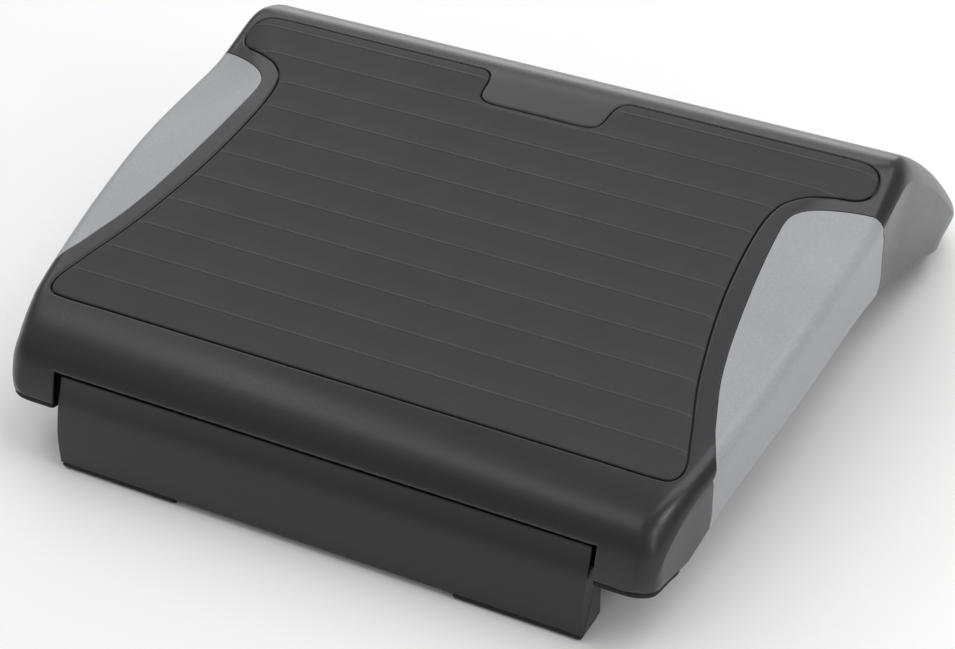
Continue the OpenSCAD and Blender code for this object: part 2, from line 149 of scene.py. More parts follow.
arch_pts = [
    (1, 42.5), (8, 41), (22, 38.1), (34, 35.6), (42, 34.2), (47, 34.4), (52, 36.8), (60, 41), (70, 45.4), (84, 50), (100, 54),
    (133, 58.6), (180, 61.4), (210, 63), (240, 63.2), (266, 61), (300, 54.8), (328, 48.6), (348, 43.4), (368, 38), (390, 31.6),
    (402, 26.6), (420, 19.2), (430, 13.6), (436, 8.6), (441, 5.6), (448, 5), (473, 5),
]
arch = spline(arch_pts, STEP)
AS = np.concatenate([[0], np.cumsum(np.linalg.norm(np.diff(arch, axis=0), axis=1))])


def v_near(y, z):
    return VS[np.argmin(np.hypot(prof[:, 0] - y, prof[:, 1] - z))]


def a_near(y, z):
    return AS[np.argmin(np.hypot(arch[:, 0] - y, arch[:, 1] - z))]


pairs = [
    ((1, 42.5), (1, 42.5)), ((2.8, 52), (10, 40.6)), ((8, 68), (24, 37.7)), ((20, 79.6), (35, 35.4)), ((34, 85.6), (44, 34.2)),
    ((60, 91.4), (60, 41)), ((90, 97.3), (87, 50.8)), ((140, 106.8), (136, 58.8)), ((240, 125), (238, 63.2)), ((308, 136.7), (298, 55)),
    ((342, 130), (328, 48.6)), ((393, 95.3), (368, 38)), ((441, 54.3), (410, 23.4)), ((466, 29.8), (437, 8.4)), ((479, 16.2), (450, 5)),
    ((482, 9.8), (462, 5)), ((473, 5), (473, 5)),
]
pv = np.array([v_near(*a) for a, b in pairs])
pa = np.array([a_near(*b) for a, b in pairs])
pv[0], pa[0], pv[-1], pa[-1] = 0, 0, VL, AS[-1]
a_of_v = smooth(np.interp(VS, pv, pa), 6.0, STEP)
a_of_v = np.clip(a_of_v, 0, AS[-1])
a_of_v[0], a_of_v[-1] = 0, AS[-1]

width_pts = [
    (0.6, 186), (1.6, 192), (4, 197.6), (8, 201.4), (13, 203.6), (20, 204.8), (37, 207.4), (58, 211), (86, 214.8), (119, 218.5),
    (149, 221), (182, 223), (219, 224.4), (250, 225), (300, 225), (350, 225), (400, 225), (448, 223.6), (461, 221), (470, 216.6), (477, 209),
    (482.4, 196),
]
wy = np.arange(0, 484, 0.25)
_w = spline(width_pts, 0.5)
_w = _w[np.argsort(_w[:, 0])]
wx = np.interp(wy, _w[:, 0], _w[:, 1])
wx = np.minimum(wx, HALF_W)


def half_width(y):
    return np.interp(y, wy, wx)


def lerp(y, ys, vs):
    return np.interp(y, ys, vs)


def smin(a, b, k):
    h = np.clip(0.5 + 0.5 * (b - a) / k, 0, 1)
    return b + (a - b) * h - k * h * (1 - h)


def row(v):
    """The station's profile point, direction down the side wall, its length and its shoulder."""
    py, pz = np.interp(v, VS, prof[:, 0]), np.interp(v, VS, prof[:, 1])
    a = np.interp(v, VS, a_of_v)
    ay, az = np.interp(a, AS, arch[:, 0]), np.interp(a, AS, arch[:, 1])
    dy, dz = ay - py, az - pz
    length = np.hypot(dy, dz)
    dy, dz = dy / np.maximum(length, 1e-6), dz / np.maximum(length, 1e-6)
    r_s = lerp(v, [0, 40, 70, 150, 300, 345, 375, 420, 560, VL], [13, 14, 9, 8.5, 8.5, 12, 14, 14, 13, 5])
    r_x = lerp(v, [0, 40, 70, 150, 300, 345, 375, 420, 560, VL], [14, 16, 9.5, 9, 9, 12, 14, 14, 13, 5])
    r_s = soft_min(r_s, 0.45 * length)
    r_x = soft_min(r_x, 0.65 * length + 0.2)
    return py, pz, dy, dz, length, r_s, r_x


def top_drop(x, y, pz):
    """How far the top has fallen below the profile at half width x."""
    b = 115 + 0.075 * (y - 215) - 0.184 * (x - 225)
    c = 125.1 - 0.366 * (x - 186) + 0.359 * (y - 254)
    w = -smin(-b, -c, 4.0)
    on = np.clip((y - 120) / 50, 0, 1) * np.clip((345 - y) / 25, 0, 1)
    d = np.maximum(pz - smin(pz, w, 3.0), 0) - np.maximum(pz - smin(pz, pz + 30, 3.0), 0)
    return np.maximum(d, 0) * on


def undercut(s):
    return 0.0904 * np.maximum(s - 12, 0)


def wall_x(py, dy, s, length):
    return half_width(py + dy * s) - undercut(s)




def end_angle(v):
    """How far the shoulder turns before it meets the side wall: a crisp edge at both ends of the body, a softer one along the covers."""
    return np.radians(lerp(v, [0, 48, 84, 290, 330, VL], [60, 60, 77, 77, 60, 60]))


def soft_min(a, b):
    return (np.maximum(a, 1e-3) ** -4.0 + np.maximum(b, 1e-3) ** -4.0) ** -0.25


def surf(u, v):
    """Point on the outer skin. u runs across from the centre line over the shoulder and down the side wall."""
    u = np.asarray(u, float)
    v = np.clip(np.asarray(v, float), 0, VL)
    sx = np.where(u < 0, -1.0, 1.0)
    a = np.abs(u)
    py, pz, dy, dz, length, r_s, r_x = row(v)
    # end of the top
    x_e = wall_x(py, dy, r_s, length) - r_x
    s_e = top_drop(x_e, py, pz)
    s_e = np.minimum(s_e, 0.5 * length)
    for _ in range(2):
        x_e = wall_x(py, dy, s_e + r_s, length) - r_x
    arc = 1.45 * 0.5 * (r_s + r_x)
    x_w0 = x_e + r_x
    # three stretches
    tm = end_angle(v)
    t = np.clip((a - x_e) / np.maximum(arc, 1e-6), 0, 1) * tm
    x_f = x_e + r_x * np.sin(t) / np.sin(tm)
    s_f = s_e + r_s * (1 - np.cos(t)) / (1 - np.cos(tm))
    over = np.maximum(a - x_e - arc, 0)
    s_w = s_e + r_s + over
    s_w = np.minimum(s_w, length)
    x_w = wall_x(py, dy, s_w, length)
    top = a <= x_e
    wall = a > x_e + arc
    x = np.where(top, a, np.where(wall, x_w, x_f))
    s_t = np.minimum(top_drop(a, py, pz), 0.5 * length)
    s = np.where(top, s_t, np.where(wall, s_w, s_f))
    return np.stack([sx * x, py + dy * s, pz + dz * s], -1)


def u_parts(v):
    """Where the shoulder starts and ends, and the row's end, in u."""
    py, pz, dy, dz, length, r_s, r_x = row(v)
    x_e = wall_x(py, dy, r_s, length) - r_x
    s_e = np.minimum(top_drop(x_e, py, pz), 0.5 * length)
    for _ in range(2):
        x_e = wall_x(py, dy, s_e + r_s, length) - r_x
    arc = 1.45 * 0.5 * (r_s + r_x)
    return x_e, x_e + arc, x_e + arc + np.maximum(length - s_e - r_s, 0)


def normal(u, v, e=0.35):
    u = np.asarray(u, float)
    v = np.asarray(v, float)
    m = u_parts(v)[2]
    u0 = np.clip(u, -m + 2 * e, m - 2 * e)
    v0 = np.clip(v, 2 * e, VL - 2 * e)
    du = surf(u0 + e, v0) - surf(u0 - e, v0)
    dv = surf(u0, v0 + e) - surf(u0, v0 - e)
    return unit(np.cross(du, dv))


def place(p):
    """Millimetres measured from the leg's foot to metres in the part's frame."""
    p = np.asarray(p, float)
    y, z = p[..., 1], p[..., 2]
    # the rear lip rises a little behind its feet
    z = z + 11.2 * np.clip((y - 459) / 23, 0, 1) * np.clip(1 - z / 20, 0, 1)
    # and its lower corners draw in
    x = p[..., 0]
    near = np.clip((y - 406) / 38, 0, 1)
    draw = 10.5 * near * near * (3 - 2 * near) * np.clip(1 - z / 38, 0, 1) ** 1.6 * np.clip((np.abs(x) - 165) / 45, 0, 1)
    return np.stack([x - np.sign(x) * draw, y - Y_MID, z], -1) / 1000.0


def new_mesh(name, verts, faces, smooth_faces=True, body="platform"):
    me = bpy.data.meshes.new(name)
    me.from_pydata([tuple(map(float, p)) for p in verts], [], [tuple(map(int, f)) for f in faces])
    me.validate()
    me.update()
    if smooth_faces:
        me.polygons.foreach_set("use_smooth", [True] * len(me.polygons))
    ob = bpy.data.objects.new(name, me)
    bpy.context.scene.collection.objects.link(ob)
    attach(ob, body)
    return ob


# v at a depth on the upper profile, and the reverse search for seams drawn on the plan or on the side wall
_mono = np.argmax(prof[:, 0])
MONO_Y = np.maximum.accumulate(prof[: _mono + 1, 0])


def v_at(y):
    return np.interp(y, MONO_Y, VS[: _mono + 1])


gv = np.arange(1.0, VL, 2.0)
gm = u_parts(gv)[2]
_gu, _gv = [], []
for v_, m_ in zip(gv, gm):
    uu = np.arange(0, m_, 2.0)
    _gu.append(uu)
    _gv.append(np.full(len(uu), v_))
_gu, _gv = np.concatenate(_gu), np.concatenate(_gv)
_gp = surf(_gu, _gv)


def inverse(targets, axes):
    """(u, v) of points given by two of their coordinates, on the right half."""
    out = []
    wall_only = axes == (1, 2)
    ue, uf, um = u_parts(_gv)
    for t in targets:
        t = np.array(t, float)
        d = np.hypot(_gp[:, axes[0]] - t[0], _gp[:, axes[1]] - t[1])
        d = d + np.where((_gu < 0.5 * (ue + uf)) if wall_only else ((_gu > uf + 1) | (_gp[:, 1] > 420)), 1e3, 0)
        i = int(np.argmin(d))
        uv = np.array([_gu[i], _gv[i]])
        for _ in range(12):
            p = surf(uv[0], uv[1])[list(axes)]
            e = 0.1
            ju = (surf(uv[0] + e, uv[1])[list(axes)] - p) / e
            jv = (surf(uv[0], uv[1] + e)[list(axes)] - p) / e
            j = np.stack([ju, jv], 1)
            try:
                st = np.linalg.lstsq(j, t - p, rcond=0.05)[0]
            except np.linalg.LinAlgError:
                break
            uv = uv + np.clip(st, -2, 2)
            uv[1] = np.clip(uv[1], 0, VL)
            uv[0] = np.clip(uv[0], 0, u_parts(uv[1])[2])
        out.append(uv)
    return np.array(out)


# ---------------------------------------------------------------------------------------------
# Seams
# ---------------------------------------------------------------------------------------------
mat_half = [
    (100, 42), (150, 42), (187, 42), (193.4, 43), (197, 46.6), (198.2, 52), (197.6, 58), (194.6, 67.4), (190.7, 80), (185.6, 95), (180.4, 112),
    (176.6, 128), (172.8, 146), (169.8, 163), (167, 183), (165, 206), (164.3, 222), (164.3, 237), (165.6, 250), (169, 260.6),
    (177.6, 270), (192, 277), (206.6, 284.4), (212.6, 291.6), (213.6, 299), (211.4, 307), (204.6, 311.6), (196, 313),
    (150, 313), (100, 313), (60, 313), (48.6, 312.6), (44.4, 309.6), (42, 303), (41, 292.4), (39.2, 287.2), (35, 284.2), (28, 283.4), (14, 283.4),
]
mat_uv = [(x, float(v_at(y))) for x, y in mat_half]
mat_loop = spline([(0, mat_uv[0][1])] + mat_uv + [(0, mat_uv[-1][1])] + [(-u, v) for u, v in mat_uv[::-1]], 1.25, closed=True)

cover_plan = [
    (212.4, 60), (211.4, 64), (209, 68.6), (203.4, 80), (197, 98), (191.8, 114), (188, 130), (184.6, 149), (182, 168), (179.4, 190), (177.4, 212),
    (176, 234), (175.8, 246), (177, 252.6), (180, 257.6), (185.4, 262.6), (195, 268.8), (205.6, 274.6), (213.6, 278.2), (219, 280),
]
cover_rear = [(283.4, 112), (286, 108.4), (289, 104), (297, 84), (305, 64)]
cover_front = [(66.2, 52), (63.4, 68), (61, 80)]

plan_uv = inverse(cover_plan, (0, 1))
rear_uv = inverse(cover_rear, (1, 2))
front_uv = inverse(cover_front, (1, 2))
# ends of the seam on the lower edge of the side wall
v_r = rear_uv[-1][1] + 0.0
v_f = front_uv[0][1] + 0.0


def edge_u(v):
    return u_parts(v)[2]


seam_right = np.vstack([[(edge_u(v_r), v_r)], rear_uv[::-1], plan_uv[::-1], front_uv[::-1], [(edge_u(v_f), v_f)]])
keep = [0]
for i in range(1, len(seam_right)):
    if np.linalg.norm(seam_right[i] - seam_right[keep[-1]]) > 1.5:
        keep.append(i)
keep[-1] = len(seam_right) - 1
seam_right = spline(seam_right[keep], 1.25)
seam_right[:, 0] = np.minimum(seam_right[:, 0], u_parts(seam_right[:, 1])[2])

V_LIP = float(np.interp(CUT_Z, prof[: 200, 1], VS[:200]))


def even(a, b, step):
    n = max(1, int(round(abs(b - a) / step)))
    return np.linspace(a, b, n + 1)


# outer boundary of the skin, anticlockwise in (u, v)
side_v = np.concatenate([even(0, 12, 0.6)[:-1], even(12, v_f, 1.25)[:-1], even(v_f, v_r, 1.25)[:-1], even(v_r, VL - 14, 1.25)[:-1], even(VL - 14, VL, 0.7)])
ux0, uxL = float(edge_u(0.0)), float(edge_u(VL))
b_front_r = [(u, 0.0) for u in even(CUT_X, ux0, 1.25)]
b_right = [(float(edge_u(v)), float(v)) for v in side_v[1:]]
b_rear = [(u, VL) for u in even(uxL, -uxL, 3.0)[1:]]
b_left = [(-u, v) for u, v in b_right[::-1][1:]]
b_front_l = [(u, 0.0) for u in even(-ux0, -CUT_X, 1.25)]
b_lip = [(-CUT_X, v) for v in even(0, V_LIP, 1.0)[1:]] + [(u, V_LIP) for u in even(-CUT_X, CUT_X, 3.0)[1:]] + [(CUT_X, v) for v in even(V_LIP, 0, 1.0)[1:-1]]
border = np.array(b_front_r + b_right + b_rear + b_left + b_front_l + b_lip)


def in_poly(pts, poly):
    """Which points lie inside a closed polygon."""
    x, y = pts[:, 0], pts[:, 1]
    inside = np.zeros(len(pts), bool)
    for (x0, y0), (x1, y1) in zip(poly, np.roll(poly, -1, axis=0)):
        if y0 == y1:
            continue
        hit = (y0 > y) != (y1 > y)
        inside ^= hit & (x < (x1 - x0) * (y - y0) / (y1 - y0) + x0)
    return inside


class Near:
    """Distance to a set of lines, by samples 0.25 mm apart."""

    def __init__(self, lines):
        pts = []
        for line, closed in lines:
            q = np.vstack([line, line[:1]]) if closed else line
            for a, b in zip(q[:-1], q[1:]):
                n = max(1, int(np.linalg.norm(b - a) / 0.25))
                pts.append(a + (b - a) * np.linspace(0, 1, n, endpoint=False)[:, None])
            pts.append(q[-1:])
        pts = np.vstack(pts)
        self.tree = kdtree.KDTree(len(pts))
        for i, p in enumerate(pts):
            self.tree.insert((p[0], p[1], 0), i)
        self.tree.balance()

    def __call__(self, pts):
        return np.array([self.tree.find((p[0], p[1], 0))[2] for p in pts])


def offset(line, d, closed):
    """The line moved to its left by d."""
    if closed:
        a, b = np.roll(line, 1, axis=0), np.roll(line, -1, axis=0)
    else:
        a, b = np.vstack([line[:1], line[:-1]]), np.vstack([line[1:], line[-1:]])
    t = unit(b - a)
    return line + d * np.stack([-t[:, 1], t[:, 0]], 1)


def thin(points, least):
    """Drops points closer than least to one that is already kept."""
    seen, keep = {}, []
    cell = least
    for i, p in enumerate(points):
        k = (int(p[0] // cell), int(p[1] // cell))
        ok = True
        for a in (-1, 0, 1):
            for b in (-1, 0, 1):
                for q in seen.get((k[0] + a, k[1] + b), ()):
                    if (q[0] - p[0]) ** 2 + (q[1] - p[1]) ** 2 < least * least:
                        ok = False
                        break
                if not ok:
                    break
            if not ok:
                break
        if ok:
            seen.setdefault(k, []).append(p)
            keep.append(i)
    return points[keep]


def triangulate(points, edges):
    """Constrained Delaunay triangles, and the output index of each input point."""
    vc, _, faces, ov, _, _ = delaunay_2d_cdt([Vector((float(a), float(b))) for a, b in points], edges, [], 0, 1e-6)
    index = np.zeros(len(points), int)
    for i, o in enumerate(ov):
        for j in o:
            index[j] = i
    return np.array([(p[0], p[1]) for p in vc]), np.array(faces), index


def skin_grid(step_u, step_v, fillet=9, crisp=False):
    """Points on the whole skin: rows across with extra samples over the shoulders, closer over the nose and the tail."""
    vs = np.concatenate([even(0, 62, 1.3), even(62, VL - 26, step_v)[1:-1], even(VL - 26, VL, 1.3)])
    out = []
    for v in vs:
        e, f, m = u_parts(v)
        e, f, m = float(e), float(f), float(m)
        us = np.concatenate([even(0, e, step_u), even(e, f, (f - e) / fillet)[1:], even(f, m, max(2.2, step_u * 0.6))[1:]])
        if crisp and m > f + 1.2:
            us = np.concatenate([us, [f - 0.35, f + 0.35]])
        out += [(s * u, v) for u in us for s in ((1, -1) if u > 0 else (1,))]
    return np.array(out)


def rounding(d, r):
    """Depth of a rounded edge of radius r at a distance d from the edge."""
    t = np.clip(1 - d / r, 0, 1)
    return -r * (1 - np.sqrt(1 - t * t))


def chain(idx, closed):
    i = list(idx)
    return list(zip(i, i[1:] + (i[:1] if closed else [])))[: len(i) if closed else len(i) - 1]


def lift(points, h):
    """Skin points moved outwards by h, in metres in the part's frame."""
    u, v = points[:, 0], points[:, 1]
    return place(surf(u, v) + normal(u, v) * np.asarray(h)[..., None])


def outward(me):
    """Drops unused vertices and turns every closed part's faces outwards."""
    bm = bmesh.new()
    bm.from_mesh(me)
    bmesh.ops.delete(bm, geom=[v for v in bm.verts if not v.link_edges], context="VERTS")
    bm.faces.ensure_lookup_table()
    done = set()
    for start in bm.faces:
        if start.index in done:
            continue
        done.add(start.index)
        part, k = [start], 0
        while k < len(part):
            for e in part[k].edges:
                for g in e.link_faces:
                    if g.index not in done:
                        done.add(g.index)
                        part.append(g)
            k += 1
        if any(not e.is_contiguous for f in part for e in f.edges):
            bmesh.ops.recalc_face_normals(bm, faces=part)
        o = part[0].verts[0].co.copy()
        six = 0.0
        for f in part:
            vs = [v.co - o for v in f.verts]
            for i in range(1, len(vs) - 1):
                six += vs[0].dot(vs[i].cross(vs[i + 1]))
        if six < 0:
            bmesh.ops.reverse_faces(bm, faces=part)
    bm.to_mesh(me)
    bm.free()


class Build:
    """Collects closed parts and makes them one mesh."""

    def __init__(self):
        self.v, self.f, self.sm = [], [], []

    def add(self, verts, faces, smooth_faces=True):
        base = len(self.v)
        self.v += [tuple(map(float, p)) for p in verts]
        self.f += [tuple(base + int(i) for i in f) for f in faces]
        self.sm += [smooth_faces] * len(faces)
        return base

    def loft(self, sections, flip=False, flat_caps=True):
        """Joins closed sections of equal length, anticlockwise as seen from the end they run towards, and caps both ends."""
        n, m = len(sections[0]), len(sections)
        fs = []
        for k in range(m - 1):
            for i in range(n):
                j = (i + 1) % n
                fs.append([k * n + i, k * n + j, (k + 1) * n + j, (k + 1) * n + i])
        caps = [list(range(n))[::-1], [n * (m - 1) + i for i in range(n)]]
        pts_ = np.vstack(sections)
        if flip:
            pts_ = pts_ * np.array([-1.0, 1.0, 1.0])
            fs, caps = [f[::-1] for f in fs], [f[::-1] for f in caps]
        base = self.add(place(pts_), fs)
        self.f += [tuple(base + i for i in f) for f in caps]
        self.sm += [not flat_caps] * 2
        return base

    def prism(self, outline, axis, lo, hi, bevel=0.0, flip=False):
        """Extrudes a closed outline along an axis. axis 0 takes (y, z), 1 takes (x, z), 2 takes (x, y)."""
        o = np.array(outline, float)
        area = 0.5 * np.sum(o[:, 0] * np.roll(o[:, 1], -1) - np.roll(o[:, 0], -1) * o[:, 1])
        if (area < 0) != (axis == 1):
            o = o[::-1]
        layers = [(lo, o), (hi, o)]
        if bevel:
            side = -1.0 if axis == 1 else 1.0
            ends = [(bevel * (1 - math.sin(math.radians(k))), bevel * (1 - math.cos(math.radians(k)))) for k in (0, 22.5, 45, 67.5, 90)]
            layers = [(lo + dh, offset(o, side * di, True)) for di, dh in ends]
            layers += [(hi - dh, offset(o, side * di, True)) for di, dh in ends[::-1]]
        out = []
        for h, q in layers:
            c = np.full(len(q), float(h))
            out.append(np.stack({0: (c, q[:, 0], q[:, 1]), 1: (q[:, 0], c, q[:, 1]), 2: (q[:, 0], q[:, 1], c)}[axis], 1))
        return self.loft(out, flip)

    def box(self, x0, x1, y0, y1, z0, z1, bevel=0.4):
        return self.prism([(x0, y0), (x1, y0), (x1, y1), (x0, y1)], 2, z0, z1, bevel)

    def rod(self, axis, r, lo, hi, a, b, n=32, bevel=0.3, hole=0.0):
        t = np.linspace(0, 2 * math.pi, n, endpoint=False)
        c = [(a + r * math.cos(k), b + r * math.sin(k)) for k in t]
        if not hole:
            return self.prism(c, axis, lo, hi, bevel)
        rings = [(lo, hole), (lo, r - bevel), (lo + bevel, r), (hi - bevel, r), (hi, r - bevel), (hi, hole)]
        vs = []
        for h, q in rings:
            for k in t:
                p, s_ = a + q * math.cos(k), b + q * math.sin(k)
                vs.append({0: (h, p, s_), 1: (p, h, s_), 2: (p, s_, h)}[axis])
        fs = []
        m = len(rings)
        for k in range(m):
            for i in range(n):
                j = (i + 1) % n
                kk = (k + 1) % m
                fs.append([k * n + i, k * n + j, kk * n + j, kk * n + i])
        if axis == 1:
            fs = [f[::-1] for f in fs]
        return self.add(place(np.array(vs)), fs, False)

    def object(self, name):
        me = bpy.data.meshes.new(name)
        me.from_pydata(self.v, [], self.f)
        me.polygons.foreach_set("use_smooth", self.sm)
        me.validate()
        outward(me)
        me.update()
        ob = bpy.data.objects.new(name, me)
        bpy.context.scene.collection.objects.link(ob)
        return ob

    def make(self, name, body, node, sharp=42, cutters=()):
        """The finished piece, with any cutters taken out of it, riding on its body in place of its node."""
        ob = self.object(name)
        if cutters:
            tools = [c.object("cutter") for c in cutters]
            for c in tools:
                m = ob.modifiers.new("cut", "BOOLEAN")
                m.operation = "DIFFERENCE"
                m.solver = "MANIFOLD"
                m.object = c
            me = bpy.data.meshes.new_from_object(ob.evaluated_get(bpy.context.evaluated_depsgraph_get()))
            ob.modifiers.clear()
            old, ob.data = ob.data, me
            me.name = name
            bpy.data.meshes.remove(old)
            for c in tools:
                d = c.data
                bpy.data.objects.remove(c)
                bpy.data.meshes.remove(d)
        ob.data.set_sharp_from_angle(angle=math.radians(sharp))
        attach(ob, body)
        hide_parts(node)
        return ob


def rounded(poly, radius, steps=5, least=20):
    """A closed polygon with its sharper corners turned into arcs."""
    q = np.array(poly, float)
    n = len(q)
    r = radius if hasattr(radius, "__len__") else [radius] * n
    out = []
    for i in range(n):
        a, b, c = q[i - 1], q[i], q[(i + 1) % n]
        u, w = unit(a - b), unit(c - b)
        turn = math.pi - math.acos(float(np.clip(u @ w, -1, 1)))
        if math.degrees(turn) < least or r[i] <= 0:
            out.append(b)
            continue
        cut_ = r[i] * math.tan(turn / 2)
        cut_ = min(cut_, 0.45 * np.linalg.norm(a - b), 0.45 * np.linalg.norm(c - b))
        rad = cut_ / math.tan(turn / 2)
        mid = b + unit(u + w) * rad / math.cos(turn / 2)
        p0, p1 = b + u * cut_, b + w * cut_
        a0 = math.atan2(p0[1] - mid[1], p0[0] - mid[0])
        a1 = math.atan2(p1[1] - mid[1], p1[0] - mid[0])
        d = (a1 - a0 + math.pi) % (2 * math.pi) - math.pi
        for k in range(steps + 1):
            t = a0 + d * k / steps
            out.append(mid + rad * np.array([math.cos(t), math.sin(t)]))
    return np.array(out)


def both(fn):
    for s in (-1, 1):
        fn(s)


# ---------------------------------------------------------------------------------------------
# Platform shell: outer skin with pockets for the mat and the covers, inner skin and rim
# ---------------------------------------------------------------------------------------------
EDGE_R_MAT, EDGE_R_COVER = 1.0, 0.45
MAT_POCKET, COVER_POCKET = 2.4, 2.1

seam_left = seam_right[::-1] * np.array([-1.0, 1.0])
seams = Near([(mat_loop, True), (seam_right, False), (seam_left, False)])
mat_near = Near([(mat_loop, True)])
rim_near = Near([(border, True)])

grid = skin_grid(5.0, 3.2, crisp=True)
grid = grid[seams(grid) > 2.0]
grid = grid[rim_near(grid) > 0.9]
ring_pts = []
for line, closed, r in ((mat_loop, True, EDGE_R_MAT), (seam_right, False, EDGE_R_COVER), (seam_left, False, EDGE_R_COVER)):
    for k in (0.14, 0.5, 1.0, 1.9):
        for s in (1, -1):
            ring_pts.append(offset(line, s * k * r, closed))
ring_pts = np.vstack(ring_pts)
ring_pts = ring_pts[np.abs(ring_pts[:, 0]) < u_parts(ring_pts[:, 1])[2] - 0.5]
EDGE_R_RIM = 1.1
ring_pts = ring_pts[rim_near(ring_pts) > 0.05]
rim_rings = np.vstack([offset(border, k * EDGE_R_RIM, True) for k in (0.14, 0.5, 1.0, 1.9)])
rim_rings = rim_rings[in_poly(rim_rings, border)]
rim_rings = rim_rings[seams(rim_rings) > 0.05]
grid = thin(np.vstack([ring_pts, rim_rings, grid]), 0.1)

pts = np.vstack([border, mat_loop, seam_right[1:-1], seam_left[1:-1], grid])
nb, nm, ns = len(border), len(mat_loop), len(seam_right) - 2
i_border = np.arange(nb)
i_mat = nb + np.arange(nm)


def border_index(p):
    return int(np.argmin(np.hypot(border[:, 0] - p[0], border[:, 1] - p[1])))


i_sr = [border_index(seam_right[0])] + list(nb + nm + np.arange(ns)) + [border_index(seam_right[-1])]
i_sl = [border_index(seam_left[0])] + list(nb + nm + ns + np.arange(ns)) + [border_index(seam_left[-1])]
edges = chain(i_border, True) + chain(i_mat, True) + chain(i_sr, False) + chain(i_sl, False)
P2, tris, imap = triangulate(pts, edges)
cen = P2[tris].mean(1)
inside = in_poly(cen, border)
cover_poly_r = np.vstack([seam_right, np.array([(edge_u(v), v) for v in even(v_f, v_r, 1.25)[1:-1]])])
cover_poly_l = cover_poly_r * np.array([-1.0, 1.0])
in_mat = in_poly(cen, mat_loop)
in_cov = in_poly(cen, cover_poly_r) | in_poly(cen, cover_poly_l)

d_mat = mat_near(P2)
d_sea = seams(P2)
h_out = np.where(d_mat < 5, rounding(d_mat, EDGE_R_MAT), 0) + np.where(d_mat >= 5, rounding(d_sea, EDGE_R_COVER), 0)
h_out = h_out + rounding(rim_near(P2), EDGE_R_RIM)
pm = in_poly(P2, mat_loop)
pc = in_poly(P2, cover_poly_r) | in_poly(P2, cover_poly_l)
h_in = np.where(d_mat < np.where(pm | (d_mat < 1e-3), 1e9, -1), -MAT_POCKET, -COVER_POCKET)

verts = list(lift(P2, np.where(pm & (d_mat > 1e-3), -MAT_POCKET, np.where(pc & (d_sea > 1e-3), -COVER_POCKET, h_out))))
faces = []
low = {}


def lower(i, depth):
    """The copy of a seam's point at the floor of its pocket."""
    if i not in low:
        low[i] = len(verts)
        verts.append(lift(P2[i : i + 1], np.array([-depth]))[0])
    return low[i]


seam_set = set(imap[i] for i in i_mat) | set(imap[i] for i in i_sr) | set(imap[i] for i in i_sl)
for t, ins, m, c in zip(tris, inside, in_mat, in_cov):
    if not ins:
        continue
    if m or c:
        faces.append([lower(i, MAT_POCKET if m else COVER_POCKET) if i in seam_set else i for i in t])
    else:
        faces.append(list(t))
# walls of the pockets: the visible skin lies to the right of the mat's loop and of the covers' seams
for loop, closed, depth in ((i_mat, True, MAT_POCKET), (i_sr, False, COVER_POCKET), (i_sl, False, COVER_POCKET)):
    for a, b in chain([imap[i] for i in loop], closed):
        faces.append([b, a, lower(a, depth), lower(b, depth)])

# inner skin
ig = skin_grid(11.0, 10.0, fillet=3)
ig = ig[rim_near(ig) > 2.5]
ig = thin(ig, 2.5)
ip, it, im = triangulate(np.vstack([border, ig]), chain(i_border, True))
it = it[in_poly(ip[it].mean(1), border)]
base = len(verts)
depth = np.full(len(ip), WALL)
depth[im[i_border]] = WALL * 0.94
verts += list(lift(ip, -depth))
faces += [[base + i for i in t[::-1]] for t in it]
# rim between the two skins
was = False
for k in range(nb):
    a, b = i_border[k], i_border[(k + 1) % nb]
    mid = (border[a] + border[b]) / 2
    cov = v_f < mid[1] < v_r and abs(mid[0]) > 180
    oa, ob_ = imap[a], imap[b]
    if cov != was:
        t = [oa, base + im[a], low[oa]]
        faces.append(t if cov else t[::-1])
        was = cov
    if cov:
        oa = low.get(oa, oa)
        ob_ = low.get(ob_, ob_)
    faces.append([ob_, oa, base + im[a], base + im[b]])
shell_mesh = Build()
shell_mesh.add(verts, faces)

# ribs under the deck, in the skirt, webs, blocks and bosses inside the shell
INNER = -WALL + 0.8


def skin_at(u, v, h):
    u, v = np.atleast_1d(np.asarray(u, float)), np.atleast_1d(np.asarray(v, float))
    return surf(u, v) + normal(u, v) * h


def corner_z(y):
    return 42.5 - 0.207 * (y - 1)


for y in (84, 134, 184, 234, 284):
    v = float(v_at(y))
    low_z = deck(y) - 27
    e, f, m = (float(k) for k in u_parts(v))
    us = np.concatenate([even(0, e, 8), even(e, f, 1.5)[1:], even(f, f + 26, 2)[1:]])
    q = skin_at(us, np.full(len(us), v), INNER)
    q = q[q[:, 2] > low_z]
    half = [(a, c) for a, c in zip(q[:, 0], q[:, 2])]
    out = half + [(half[-1][0] - 0.2, low_z)]
    out = out + [(-a, c) for a, c in out[::-1][:-1]] if half[0][0] < 1e-6 else out
    shell_mesh.prism(out, 1, y - 1.2, y + 1.2)
for x in (-120, -60, 0, 60, 120):
    vs_ = even(float(v_at(84)), float(v_at(338)), 4)
    q = skin_at(np.full(len(vs_), x), vs_, INNER)
    bottom = [(y, deck(y) - 27) for y in even(338, 84, 12)]
    shell_mesh.prism([(b, c) for b, c in q[:, 1:]] + bottom, 0, x - 1.2, x + 1.2)
    vs_ = even(float(v_at(330)), float(v_near(468, skirt(468))), 4)
    q = skin_at(np.full(len(vs_), x), vs_, INNER)
    shell_mesh.prism([(b, c) for b, c in q[:, 1:]] + [(468, 8), (452, 8), (354, 96), (338, 106), (330, 106)], 0, x - 1.2, x + 1.2)


